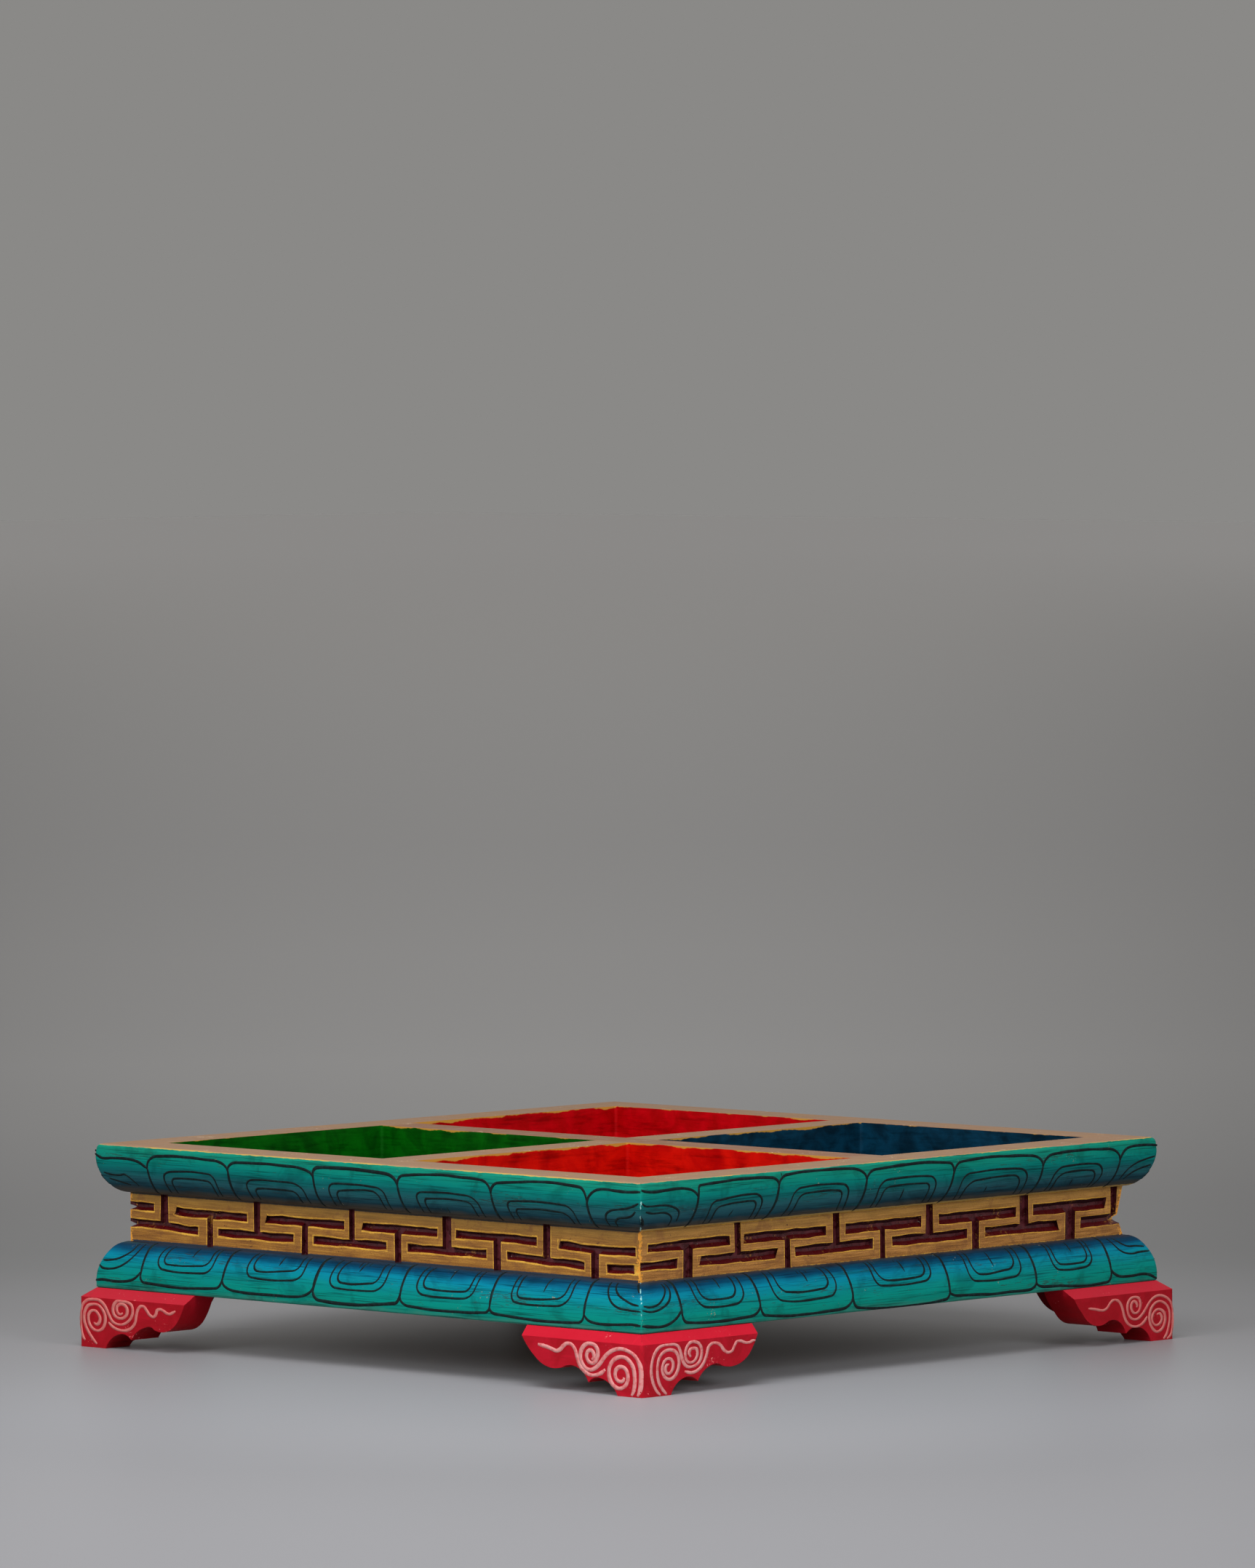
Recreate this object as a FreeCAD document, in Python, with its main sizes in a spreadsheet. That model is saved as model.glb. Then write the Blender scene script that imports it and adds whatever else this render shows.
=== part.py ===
import FreeCAD, Part
import math
import os
import Sketcher
from FreeCAD import Placement, Rotation, Vector

# Square footed tray of painted wood, four compartments, in millimetres.
# +Z is up, the origin is under the middle of the tray at the height of the feet's soles.
# The front is -Y and the right side is +X. Every side piece is modelled as the front one,
# in a frame whose X runs along the side, and turned to its side by its placement.

# Driving dimensions
sizes = {
    # Frame as a whole
    "tray_side": 300.0,
    "rim_width": 20.0,
    "frieze_inset": 10.0,
    # Storeys from the ground up
    "foot_height": 23.5,
    "base_rail_height": 18.5,
    "frieze_height": 19.5,
    "top_rail_height": 19.5,
    # Petal mouldings of the rails
    "top_rail_flat": 4.8,
    "top_rail_round": 1.8,
    "base_rail_flat": 3.0,
    "base_rail_round": 0.9,
    "curve_end_radius": 7.0,
    # Floor panel and dividers
    "floor_thickness": 7.0,
    "floor_field_rise": 1.0,
    "floor_ledge": 8.0,
    "divider_thickness": 16.0,
    "housing_depth": 4.0,
    # Key fret carved in the frieze
    "groove_width": 3.1,
    "groove_depth": 2.0,
    "groove_floor": 0.9,
    "fret_bottom_band": 4.6,
    "fret_top_band": 5.0,
    "fret_strap": 3.8,
    "long_fret_first": 19.2,
    "long_fret_last": 23.4,
    "short_fret_first": 26.6,
    "short_fret_last": 5.7,
    # Bracket feet and the blocks behind them
    "foot_length": 64.0,
    "foot_thickness": 15.0,
    "foot_proud": 4.5,
    "shoulder_height": 3.5,
    "glue_block_side": 16.0,
    "glue_block_height": 9.0,
    # Dowels through the storeys
    "dowel_diameter": 5.0,
    "dowel_spacing": 180.0,
    "dowel_depth": 9.0,
    # Clearances and the run of a cut past the wood
    "hole_clearance": 0.15,
    "trench_clearance": 0.1,
    "overrun": 2.0,
}

fret_stems = 10
sides = ["front", "right", "back", "left"]
both_ends = (-1, 1)
quarter_turn = 90.0
up = Vector(0, 0, 1)


class Size:
    """A length that carries its value and the sheet formula behind it."""

    def __init__(self, value, formula):
        self.value = value
        self.formula = formula

    def __add__(self, other):
        return Size(self.value + other.value, f"({self.formula} + {other.formula})")

    def __sub__(self, other):
        return Size(self.value - other.value, f"({self.formula} - {other.formula})")

    def __mul__(self, share):
        return Size(self.value * share, f"({self.formula} * {share})")

    def __neg__(self):
        return self * -1


zero = Size(0.0, "0")

doc = FreeCAD.newDocument("decorative_tray")
sheet = doc.addObject("Spreadsheet::Sheet", "Sizes")
for row, (alias, value) in enumerate(sizes.items(), start=1):
    sheet.set(f"A{row}", alias)
    sheet.set(f"B{row}", str(value))
    sheet.setAlias(f"B{row}", alias)
doc.recompute()


def size(alias):
    """The named cell of the sheet as a Size."""
    return Size(float(getattr(sheet, alias)), f"Sizes.{alias}")


# Places that several pieces share
rail_face = size("tray_side") * 0.5
rim_back = rail_face - size("rim_width")
frieze_face = rail_face - size("frieze_inset")
floor_edge = rim_back + size("floor_ledge")
foot_face = rail_face + size("foot_proud")
foot_back = foot_face - size("foot_thickness")

rail_bottom = size("foot_height")
frieze_bottom = rail_bottom + size("base_rail_height")
frieze_top = frieze_bottom + size("frieze_height")
rim_height = frieze_top + size("top_rail_height")
floor_top = frieze_bottom + size("floor_field_rise")
floor_bottom = floor_top - size("floor_thickness")
block_bottom = rail_bottom - size("glue_block_height")

overrun = size("overrun")
dowel_line = rim_back + size("floor_ledge") * 0.5
dowel_bottom = floor_bottom - size("dowel_depth")
dowel_top = frieze_top + size("dowel_depth")
hole_diameter = size("dowel_diameter") + size("hole_clearance") * 2
housing_end = rim_back + size("housing_depth")


# Modelling helpers
def bind(feature, prop, length):
    """Set a property to a length and tie it to the sheet."""
    feature.setExpression(prop, length.formula)


def new_body(name, turns=0):
    """A body named for its node, turned to its side of the tray."""
    body = doc.addObject("PartDesign::Body", name)
    body.Label = name
    body.Placement = Placement(Vector(), Rotation(up, turns * quarter_turn))
    return body


def origin_feature(body, role):
    return next(part for part in body.Origin.OriginFeatures if part.Role == role)


def new_sketch(body, name, plane, offset):
    """A sketch on one of the body's own planes, moved along the plane's normal."""
    sketch = body.newObject("Sketcher::SketchObject", name)
    sketch.AttachmentSupport = [(origin_feature(body, plane), "")]
    sketch.MapMode = "FlatFace"
    bind(sketch, "AttachmentOffset.Base.z", offset)
    return sketch


def fix_point(sketch, geometry, position, point):
    """Tie a point of the sketch to its place from the sketch's origin."""
    for kind, length in zip(("DistanceX", "DistanceY"), point):
        row = sketch.addConstraint(Sketcher.Constraint(kind, -1, 1, geometry, position, length.value))
        sketch.setExpression(f"Constraints[{row}]", length.formula)


def fix_size(sketch, kind, geometry, length):
    """Tie the radius or the diameter of a round edge to the sheet."""
    row = sketch.addConstraint(Sketcher.Constraint(kind, geometry, length.value))
    sketch.setExpression(f"Constraints[{row}]", length.formula)


def vector(point):
    return Vector(point[0].value, point[1].value, 0)


# An edge of a sketch is kept as its number and the numbers of its two ends, first to last.
def add_line(sketch, begin, end):
    return sketch.addGeometry(Part.LineSegment(begin, end), False), 1, 2


def add_arc(sketch, centre, radius, begin, end, anticlockwise):
    """An arc about a centre; a sketch always stores it anticlockwise."""
    ends = (begin, end) if anticlockwise else (end, begin)
    angles = [math.atan2(point.y - centre.y, point.x - centre.x) for point in ends]
    edge = sketch.addGeometry(Part.ArcOfCircle(Part.Circle(centre, up, radius), *angles), False)
    return (edge, 1, 2) if anticlockwise else (edge, 2, 1)


def add_arc_through(sketch, begin, middle, end):
    """An arc through a marked middle point."""
    marked = vector(middle)
    circle = Part.Arc(begin, marked, end).toShape().Curve
    anticlockwise = (marked - begin).cross(end - begin).z > 0
    edge = add_arc(sketch, circle.Center, circle.Radius, begin, end, anticlockwise)
    mark = sketch.addGeometry(Part.Point(marked), True)
    fix_point(sketch, mark, 1, middle)
    sketch.addConstraint(Sketcher.Constraint("PointOnObject", mark, 1, edge[0]))
    return edge


def add_circle(sketch, centre, diameter):
    edge = sketch.addGeometry(Part.Circle(vector(centre), up, diameter.value * 0.5), False)
    fix_point(sketch, edge, 3, centre)
    fix_size(sketch, "Diameter", edge, diameter)


def draw(sketch, steps):
    """Draw a closed outline: a step holds its end, or a point on its arc and its end."""
    begin = vector(steps[-1][-1])
    edges = []
    for step in steps:
        end = vector(step[-1])
        if len(step) == 1:
            edges.append(add_line(sketch, begin, end))
        else:
            edges.append(add_arc_through(sketch, begin, step[0], end))
        begin = end
    for step, edge, following in zip(steps, edges, edges[1:] + edges[:1]):
        sketch.addConstraint(Sketcher.Constraint("Coincident", edge[0], edge[2], following[0], following[1]))
        fix_point(sketch, edge[0], edge[2], step[-1])


def polygon(sketch, *corners):
    draw(sketch, [(corner,) for corner in corners])


def rectangle(sketch, low, high):
    """A rectangle between two corners."""
    polygon(sketch, low, (high[0], low[1]), high, (low[0], high[1]))


def extrude(body, kind, name, sketch, length, symmetric=False, backwards=False):
    """A pad or a pocket of the given length."""
    feature = body.newObject(f"PartDesign::{kind}", name)
    feature.Profile = sketch
    feature.SideType = "Symmetric" if symmetric else "One side"
    feature.Reversed = backwards
    bind(feature, "Length", length)
    body.Tip = feature
    return feature


def repeat_along(body, name, features, pitch, count, backwards):
    """Copies of the features at an even pitch along the side."""
    pattern = body.newObject("PartDesign::LinearPattern", name)
    pattern.Originals = features
    pattern.Direction = (origin_feature(body, "X_Axis"), [""])
    pattern.Reversed = backwards
    pattern.Mode = "Spacing"
    bind(pattern, "Offset", pitch)
    pattern.Occurrences = count
    body.Tip = pattern


def repeat_round(body, name, features):
    """Copies of the features on all four sides."""
    pattern = body.newObject("PartDesign::PolarPattern", name)
    pattern.Originals = features
    pattern.Axis = (origin_feature(body, "Z_Axis"), [""])
    pattern.Angle = len(sides) * quarter_turn
    pattern.Occurrences = len(sides)
    body.Tip = pattern


def mitre(body, face, back, signs):
    """Cut the ends of a side piece at 45 degrees, from its face to its back; 1 is the right end."""
    sketch = new_sketch(body, "mitres", "XY_Plane", zero)
    outer, inner = face + overrun, back - overrun
    for sign in signs:
        polygon(sketch, (inner * sign, -inner), (outer * sign, -outer), (outer * sign, -inner))
    extrude(body, "Pocket", "mitre_cuts", sketch, rim_height + overrun, backwards=True)


def dowel_circles(body, height, diameter):
    """Sketch two circles on the line of a side's dowels."""
    sketch = new_sketch(body, "dowel_circles", "XY_Plane", height)
    for sign in both_ends:
        add_circle(sketch, (size("dowel_spacing") * (0.5 * sign), -dowel_line), diameter)
    return sketch


def drill_for_dowels(body, bottom, top):
    """Two upright dowel holes between two heights."""
    sketch = dowel_circles(body, bottom, hole_diameter)
    return extrude(body, "Pocket", "dowel_drilling", sketch, top - bottom, backwards=True)


def house_divider(body, bottom):
    """The upright housing at mid-length that takes a divider's end."""
    sketch = new_sketch(body, "housing", "XY_Plane", bottom)
    half = size("divider_thickness") * 0.5
    rectangle(sketch, (-half, -housing_end), (half, overrun - rim_back))
    extrude(body, "Pocket", "divider_housing", sketch, rim_height - bottom + overrun, backwards=True)


# Moulded rails: a flat lip, then a quarter oval that draws in to the frieze
def moulding(body, lip, flat, throat, edge_round, upside):
    """Pad the rail's section along the whole side; upside is 1 if the lip is on top."""
    sketch = new_sketch(body, "section", "YZ_Plane", zero)
    face, neck, back = -rail_face, -frieze_face, -rim_back
    curve_start = lip - flat * upside
    reach = neck.value - face.value
    drop = abs(throat.value - curve_start.value)
    tight = size("curve_end_radius")
    wide = (reach ** 2 + drop ** 2 - 2 * drop * tight.value) / (2 * (reach - tight.value))
    tight_centre = Vector(neck.value, (throat + tight * upside).value, 0)
    wide_centre = Vector(face.value + wide, curve_start.value, 0)
    across = tight_centre - wide_centre
    meeting = wide_centre + across * (wide / across.Length)
    round_centre = (face + edge_round, lip - edge_round * upside)
    outer_lip, flat_top, flat_end = (round_centre[0], lip), (face, round_centre[1]), (face, curve_start)
    throat_face, throat_back, inner_lip = (neck, throat), (back, throat), (back, lip)
    turning = upside > 0
    chain = [
        add_line(sketch, vector(inner_lip), vector(outer_lip)),
        add_arc(sketch, vector(round_centre), edge_round.value, vector(outer_lip), vector(flat_top), turning),
        add_line(sketch, vector(flat_top), vector(flat_end)),
        add_arc(sketch, wide_centre, wide, vector(flat_end), meeting, turning),
        add_arc(sketch, tight_centre, tight.value, meeting, vector(throat_face), turning),
        add_line(sketch, vector(throat_face), vector(throat_back)),
        add_line(sketch, vector(throat_back), vector(inner_lip)),
    ]
    _, rounding, flat_face, wide_curve, tight_curve, _, _ = chain
    for edge, following in zip(chain, chain[1:] + chain[:1]):
        kind = "Tangent" if edge in (flat_face, wide_curve) else "Coincident"
        sketch.addConstraint(Sketcher.Constraint(kind, edge[0], edge[2], following[0], following[1]))
    ends = (outer_lip, flat_top, flat_end, None, throat_face, throat_back, inner_lip)
    for (edge, _, last), point in zip(chain, ends):
        if point:
            fix_point(sketch, edge, last, point)
    fix_size(sketch, "Radius", rounding[0], edge_round)
    fix_point(sketch, tight_curve[0], 3, (neck, throat + tight * upside))
    extrude(body, "Pad", "moulded_length", sketch, rail_face * 2, symmetric=True)


def make_top_rail(side, turns):
    body = new_body(f"top_rail_{side}", turns)
    moulding(body, rim_height, size("top_rail_flat"), frieze_top, size("top_rail_round"), 1)
    mitre(body, rail_face, rim_back, both_ends)
    house_divider(body, frieze_top)
    drill_for_dowels(body, frieze_top, dowel_top + size("hole_clearance"))
    return body


def make_base_rail(side, turns):
    body = new_body(f"base_rail_{side}", turns)
    moulding(body, rail_bottom, size("base_rail_flat"), frieze_bottom, size("base_rail_round"), -1)
    sketch = new_sketch(body, "rebate", "YZ_Plane", zero)
    rectangle(sketch, (-floor_edge, floor_bottom), (overrun - rim_back, frieze_bottom + overrun))
    extrude(body, "Pocket", "floor_rebate", sketch, foot_face * 2, symmetric=True)
    mitre(body, rail_face, rim_back, both_ends)
    drill_for_dowels(body, dowel_bottom, floor_bottom + overrun)
    return body


# Frieze boards with the carved key fret
def make_frieze_board(side, turns):
    body = new_body(f"frieze_board_{side}", turns)
    sketch = new_sketch(body, "board", "XY_Plane", frieze_bottom)
    right_end = (frieze_face, -frieze_face), (rim_back, -rim_back)
    left_end = (-rim_back, -rim_back), (-frieze_face, -frieze_face)
    polygon(sketch, *right_end, *left_end)
    extrude(body, "Pad", "mitred_board", sketch, size("frieze_height"))
    house_divider(body, frieze_bottom)
    drill_for_dowels(body, frieze_bottom, frieze_top)
    carve_fret(body, side)
    return body


def carve_fret(body, side):
    """Interlocked T shapes: bars on two levels, each with a stem to the far edge."""
    long_fret = side in ("front", "left")
    mirrored = side in ("back", "left")
    kind = "long_fret" if long_fret else "short_fret"
    first, last = size(f"{kind}_first"), size(f"{kind}_last")
    half_pitch = (frieze_face * 2 - first - last) * (1 / (fret_stems - 1))
    start = first - frieze_face
    sign = -1 if mirrored else 1
    half_groove = size("groove_width") * 0.5
    half_bar = half_pitch - size("fret_strap") - half_groove
    low_bar = frieze_bottom + size("fret_bottom_band") + half_groove
    high_bar = frieze_top - size("fret_top_band") - half_groove
    stem_pairs = fret_stems // 2
    first_rising, first_hanging = (0, 1) if long_fret else (1, 0)

    def place(step):
        return (start + half_pitch * step) * sign

    def cut_stems(name, first_step, low, high):
        sketch = new_sketch(body, f"{name}_outline", "XZ_Plane", frieze_face + overrun)
        middle = place(first_step)
        rectangle(sketch, (middle - half_groove, low), (middle + half_groove, high))
        depth = size("groove_depth") + overrun
        stem = extrude(body, "Pocket", name, sketch, depth)
        repeat_along(body, f"{name}_row", [stem], half_pitch * 2, stem_pairs, mirrored)

    def cut_bars(name, level, first_step, count):
        sketch = new_sketch(body, f"{name}_section", "YZ_Plane", place(first_step))
        half_floor = size("groove_floor") * 0.5
        floor = size("groove_depth") - frieze_face
        mouth = -frieze_face
        outside = mouth - overrun
        polygon(
            sketch,
            (outside, level - half_groove),
            (mouth, level - half_groove),
            (floor, level - half_floor),
            (floor, level + half_floor),
            (mouth, level + half_groove),
            (outside, level + half_groove),
        )
        bar = extrude(body, "Pocket", name, sketch, half_bar * 2, symmetric=True)
        repeat_along(body, f"{name}_row", [bar], half_pitch * 2, count, mirrored)

    cut_stems("rising_stems", first_rising, low_bar, frieze_top + overrun)
    cut_stems("hanging_stems", first_hanging, frieze_bottom - overrun, high_bar)
    # The first bar has no stem of its own and runs off the left end; the long fret has another at the right
    cut_bars("lower_bars", low_bar, first_rising if long_fret else -1, stem_pairs + 1)
    cut_bars("upper_bars", high_bar, -1 if long_fret else first_hanging, stem_pairs + long_fret)


# Floor panel and the two half-lapped dividers
def make_floor_panel():
    """A board with a raised field for each compartment, so that boards and dividers sit in trenches."""
    body = new_body("floor_panel")
    sketch = new_sketch(body, "panel", "XY_Plane", floor_bottom)
    rectangle(sketch, (-floor_edge, -floor_edge), (floor_edge, floor_edge))
    extrude(body, "Pad", "panel_board", sketch, frieze_bottom - floor_bottom)
    sketch = new_sketch(body, "fields", "XY_Plane", frieze_bottom)
    near = size("divider_thickness") * 0.5 + size("trench_clearance")
    far = rim_back - size("trench_clearance")
    for x_low, x_high in ((-far, -near), (near, far)):
        for y_low, y_high in ((-far, -near), (near, far)):
            rectangle(sketch, (x_low, y_low), (x_high, y_high))
    extrude(body, "Pad", "raised_fields", sketch, size("floor_field_rise"))
    drilling = drill_for_dowels(body, floor_bottom, frieze_bottom)
    repeat_round(body, "dowel_drilling_round", [drilling])
    return body


def make_divider(name, turns, notch_bottom, notch_top):
    """A board across the tray, notched for half its height where the other crosses."""
    body = new_body(name, turns)
    half = size("divider_thickness") * 0.5
    sketch = new_sketch(body, "board", "XY_Plane", frieze_bottom)
    rectangle(sketch, (-housing_end, -half), (housing_end, half))
    extrude(body, "Pad", "divider_board", sketch, rim_height - frieze_bottom)
    sketch = new_sketch(body, "notch", "XY_Plane", notch_bottom)
    rectangle(sketch, (-half, -half - overrun), (half, half + overrun))
    extrude(body, "Pocket", "half_lap", sketch, notch_top - notch_bottom, backwards=True)
    return body


# Bracket feet: two scalloped wings at each corner
# Places along the wing from the corner, and up from the ground, as shares of its length and height.
# A pair of places is the middle and the end of an arc.
scallop_shares = [
    ((0.219, 0.0),),
    ((0.320, 0.255), (0.461, 0.179)),
    ((0.555, 0.415), (0.672, 0.387)),
    ((0.789, 0.374), (0.888, 0.519)),
    ((0.953, 0.736), (1.0, 1.0)),
    ((0.0, 1.0),),
    ((0.0, 0.0),),
]


def make_foot_bracket(name, turns, sign):
    """The wing at the right end of its side, or at the left end if sign is -1."""
    body = new_body(name, turns)
    length, height = size("foot_length"), size("foot_height")

    def place(shares):
        return (foot_face - length * shares[0]) * sign, height * shares[1]

    sketch = new_sketch(body, "scalloped_outline", "XZ_Plane", foot_face)
    draw(sketch, [tuple(place(shares) for shares in step) for step in scallop_shares])
    wing = extrude(body, "Pad", "wing", sketch, size("foot_thickness"), backwards=True)
    doc.recompute()
    chamfer = body.newObject("PartDesign::Chamfer", "shoulder")
    chamfer.Base = (wing, [top_outer_edge(wing.Shape)])
    chamfer.ChamferType = "Two distances"
    bind(chamfer, "Size", size("foot_proud"))
    bind(chamfer, "Size2", size("shoulder_height"))
    body.Tip = chamfer
    mitre(body, foot_face, foot_back, (sign,))
    return body


def top_outer_edge(shape):
    """The name of the long edge at the top of the wing's face, the furthest up and out."""
    reach = [edge.CenterOfMass.z - edge.CenterOfMass.y for edge in shape.Edges]
    return f"Edge{reach.index(max(reach)) + 1}"


# Glue blocks behind the feet, and the dowels
def make_glue_block(name, turns):
    """A square block rubbed with glue into the corner of two wings, under the base rails."""
    body = new_body(name, turns)
    far = foot_back - size("glue_block_side")
    sketch = new_sketch(body, "block", "XY_Plane", block_bottom)
    rectangle(sketch, (far, -foot_back), (foot_back, -far))
    extrude(body, "Pad", "block_blank", sketch, size("glue_block_height"))
    return body


def make_dowels():
    """Eight upright dowels, two on each side."""
    body = new_body("stack_dowels")
    sketch = dowel_circles(body, dowel_bottom, size("dowel_diameter"))
    dowels = extrude(body, "Pad", "dowel_pair", sketch, dowel_top - dowel_bottom)
    repeat_round(body, "dowels_round", [dowels])
    return body


# All the pieces
pieces = []
for turns, side in enumerate(sides):
    pieces.append(make_top_rail(side, turns))
    pieces.append(make_frieze_board(side, turns))
    pieces.append(make_base_rail(side, turns))
    after, before = sides[(turns + 1) % len(sides)], sides[turns - 1]
    pieces.append(make_foot_bracket(f"foot_bracket_{side}_at_{after}", turns, 1))
    pieces.append(make_foot_bracket(f"foot_bracket_{side}_at_{before}", turns, -1))
    pieces.append(make_glue_block(f"glue_block_{side}_{after}", turns))

lap_height = frieze_bottom + (rim_height - frieze_bottom) * 0.5
pieces.append(make_floor_panel())
pieces.append(make_divider("divider_left_to_right", 0, lap_height, rim_height + overrun))
pieces.append(make_divider("divider_front_to_back", 1, frieze_bottom - overrun, lap_height))
pieces.append(make_dowels())
doc.recompute()

# Checks before anything is written
for item in doc.Objects:
    if "Invalid" in item.State or "Error" in item.State:
        raise RuntimeError(f"{item.Label} ({item.Name}) did not compute")
for piece in pieces:
    if piece.Shape.isNull() or not piece.Shape.isValid():
        raise RuntimeError(f"{piece.Label} has no valid shape")

os.makedirs("parts", exist_ok=True)
for piece in pieces:
    piece.Shape.exportStep(f"parts/{piece.Label}.step")
    box = piece.Shape.BoundBox
    print(f"{piece.Label}: {len(piece.Shape.Solids)} solid(s), volume {piece.Shape.Volume:.1f}, "
          f"x {box.XMin:.2f} to {box.XMax:.2f}, y {box.YMin:.2f} to {box.YMax:.2f}, "
          f"z {box.ZMin:.2f} to {box.ZMax:.2f}")
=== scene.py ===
# %% [markdown]
# # A painted compartment tray
# A square wooden tray stands on four scalloped feet. Its rails carry painted lotus petals, the recessed
# band between them is carved with a key fret, and two crossing dividers make four painted compartments.
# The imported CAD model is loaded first: it fixes every place, and nothing below may drift away from it.

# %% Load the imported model
import random
from math import atan2, cos, hypot, pi, radians, sin, sqrt

import bmesh
import bpy
from mathutils import Matrix, Vector, noise
from mathutils.geometry import interpolate_bezier


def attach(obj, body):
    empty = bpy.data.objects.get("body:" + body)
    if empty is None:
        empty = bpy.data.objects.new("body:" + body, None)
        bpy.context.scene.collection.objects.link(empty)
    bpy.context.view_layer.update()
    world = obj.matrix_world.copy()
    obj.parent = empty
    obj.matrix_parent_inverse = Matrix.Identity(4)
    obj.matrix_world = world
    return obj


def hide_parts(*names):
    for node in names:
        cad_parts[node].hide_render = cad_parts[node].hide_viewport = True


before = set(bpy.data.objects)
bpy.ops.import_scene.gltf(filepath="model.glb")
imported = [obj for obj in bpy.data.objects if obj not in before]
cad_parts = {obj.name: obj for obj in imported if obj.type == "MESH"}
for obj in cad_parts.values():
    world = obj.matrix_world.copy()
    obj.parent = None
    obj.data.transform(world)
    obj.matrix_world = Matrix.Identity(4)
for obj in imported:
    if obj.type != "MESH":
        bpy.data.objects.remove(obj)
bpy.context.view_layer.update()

print("pieces in the packed model:", len(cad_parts))

# %% [markdown]
# ## The camera
# The photograph was taken from four metres away with a long lens, so its sides hardly converge. The place
# and the turn of the camera were fitted to the corners of the tray. Blender's lens is given for the
# longer side of the picture, so the fitted length in pixels becomes millimetres on a 36 mm sensor.

# %% Place the camera
picture_width, picture_height = 1725, 2156
fitted_length = 14232
heading, tilt, roll = radians(43.577), radians(2.471), radians(-0.248)

level = Vector((cos(heading), sin(heading), 0))
looking = Vector((-sin(heading) * cos(tilt), cos(heading) * cos(tilt), -sin(tilt)))
upright = level.cross(looking)
camera_right = level * cos(roll) + upright * sin(roll)
camera_up = upright * cos(roll) - level * sin(roll)

camera_data = bpy.data.cameras.new("portrait_camera")
camera_data.sensor_width = 36
camera_data.lens = fitted_length * camera_data.sensor_width / max(picture_width, picture_height)
camera_data.clip_end = 60
camera = bpy.data.objects.new("portrait_camera", camera_data)
turn = Matrix((camera_right, camera_up, -looking)).transposed()
camera.matrix_world = Matrix.Translation((2.84137, -2.98482, 0.40109)) @ turn.to_4x4()
bpy.context.scene.collection.objects.link(camera)
bpy.context.scene.camera = camera
print("lens in millimetres:", round(camera_data.lens, 1))

# %% [markdown]
# ## Sizes of the visible woodwork
# The numbers repeat the CAD model's own sizes, in millimetres, because a script that dresses the model
# must not guess. Every side is made as the front one, facing minus Y, and then turned about Z.

# %% Sizes and small helpers
mm = 0.001
sides = ("front", "right", "back", "left")
rail_face, frieze_face, rim_back, foot_face = 150 * mm, 140 * mm, 130 * mm, 154.5 * mm
foot_height, frieze_bottom, frieze_top, rim_height = 23.5 * mm, 42 * mm, 61.5 * mm, 81 * mm
cell_floor, divider_half = 43 * mm, 8 * mm


def turned(bm, side):
    """Turn a piece made as the front one to its own side."""
    quarter_turns = sides.index(side)
    matrix = Matrix.Rotation(radians(90 * quarter_turns), 3, "Z")
    bmesh.ops.rotate(bm, verts=bm.verts, cent=(0, 0, 0), matrix=matrix)


def finished(bm, name, materials, replaced=()):
    """Make the piece from its mesh, let it ride on the tray and hide the CAD parts it replaces."""
    mesh = bpy.data.meshes.new(name)
    bm.to_mesh(mesh)
    bm.free()
    piece = bpy.data.objects.new(name, mesh)
    bpy.context.scene.collection.objects.link(piece)
    for material in materials:
        mesh.materials.append(material)
    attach(piece, "root")
    if replaced:
        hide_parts(*replaced)
    return piece


def soft_step(value):
    value = min(max(value, 0), 1)
    return value * value * (3 - 2 * value)


print("sides:", ", ".join(sides))

# %% [markdown]
# ## Paint that knows the surface
# Hand-painted wood is never one colour. Four effects are used again and again: fine streaks left by the
# brush, cloudy mottling, small chips, and bare wear along the mitres, which on the gold is partly a painted
# highlight. Each one is a node group that puts out a mask, and each material mixes its own colours with
# them. Colours are written as they look on a screen and turned into linear light once.

# %% Node helpers
def paint(red, green, blue):
    """A colour from its screen values of 0 to 255, in linear light."""
    def linear(value):
        share = value / 255
        return share / 12.92 if share <= 0.04045 else ((share + 0.055) / 1.055) ** 2.4
    return linear(red), linear(green), linear(blue), 1


def add_node(tree, kind, sockets=(), **settings):
    """A shader node with its settings, its sockets filled with values or linked to outputs."""
    made = tree.nodes.new("ShaderNode" + kind)
    for name, value in settings.items():
        setattr(made, name, value)
    for key, value in dict(sockets).items():
        if isinstance(value, bpy.types.NodeSocket):
            tree.links.new(value, made.inputs[key])
        else:
            made.inputs[key].default_value = value
    return made


def calc(tree, operation, first, second=0.0, third=0.0):
    sockets = {0: first, 1: second, 2: third}
    return add_node(tree, "Math", sockets, operation=operation).outputs[0]


# Three sums that nearly every mask needs, under short names.
def product(tree, first, second):
    return calc(tree, "MULTIPLY", first, second)


def total(tree, first, second):
    return calc(tree, "ADD", first, second)


def less(tree, first, second):
    return calc(tree, "SUBTRACT", first, second)


def fade(tree, value, low, high, start=0.0, end=1.0):
    """value between low and high, stretched smoothly to start and end."""
    sockets = {"Value": value, "From Min": low, "From Max": high, "To Min": start, "To Max": end}
    made = add_node(tree, "MapRange", sockets, interpolation_type="SMOOTHSTEP")
    return made.outputs["Result"]


def mixed(tree, share, below, above, blend_type="MIX"):
    """The colour above laid over the one below by share."""
    made = add_node(tree, "Mix", data_type="RGBA", blend_type=blend_type)
    for socket, value in ((made.inputs[0], share), (made.inputs[6], below), (made.inputs[7], above)):
        if isinstance(value, bpy.types.NodeSocket):
            tree.links.new(value, socket)
        else:
            socket.default_value = value
    return made.outputs[2]


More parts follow.
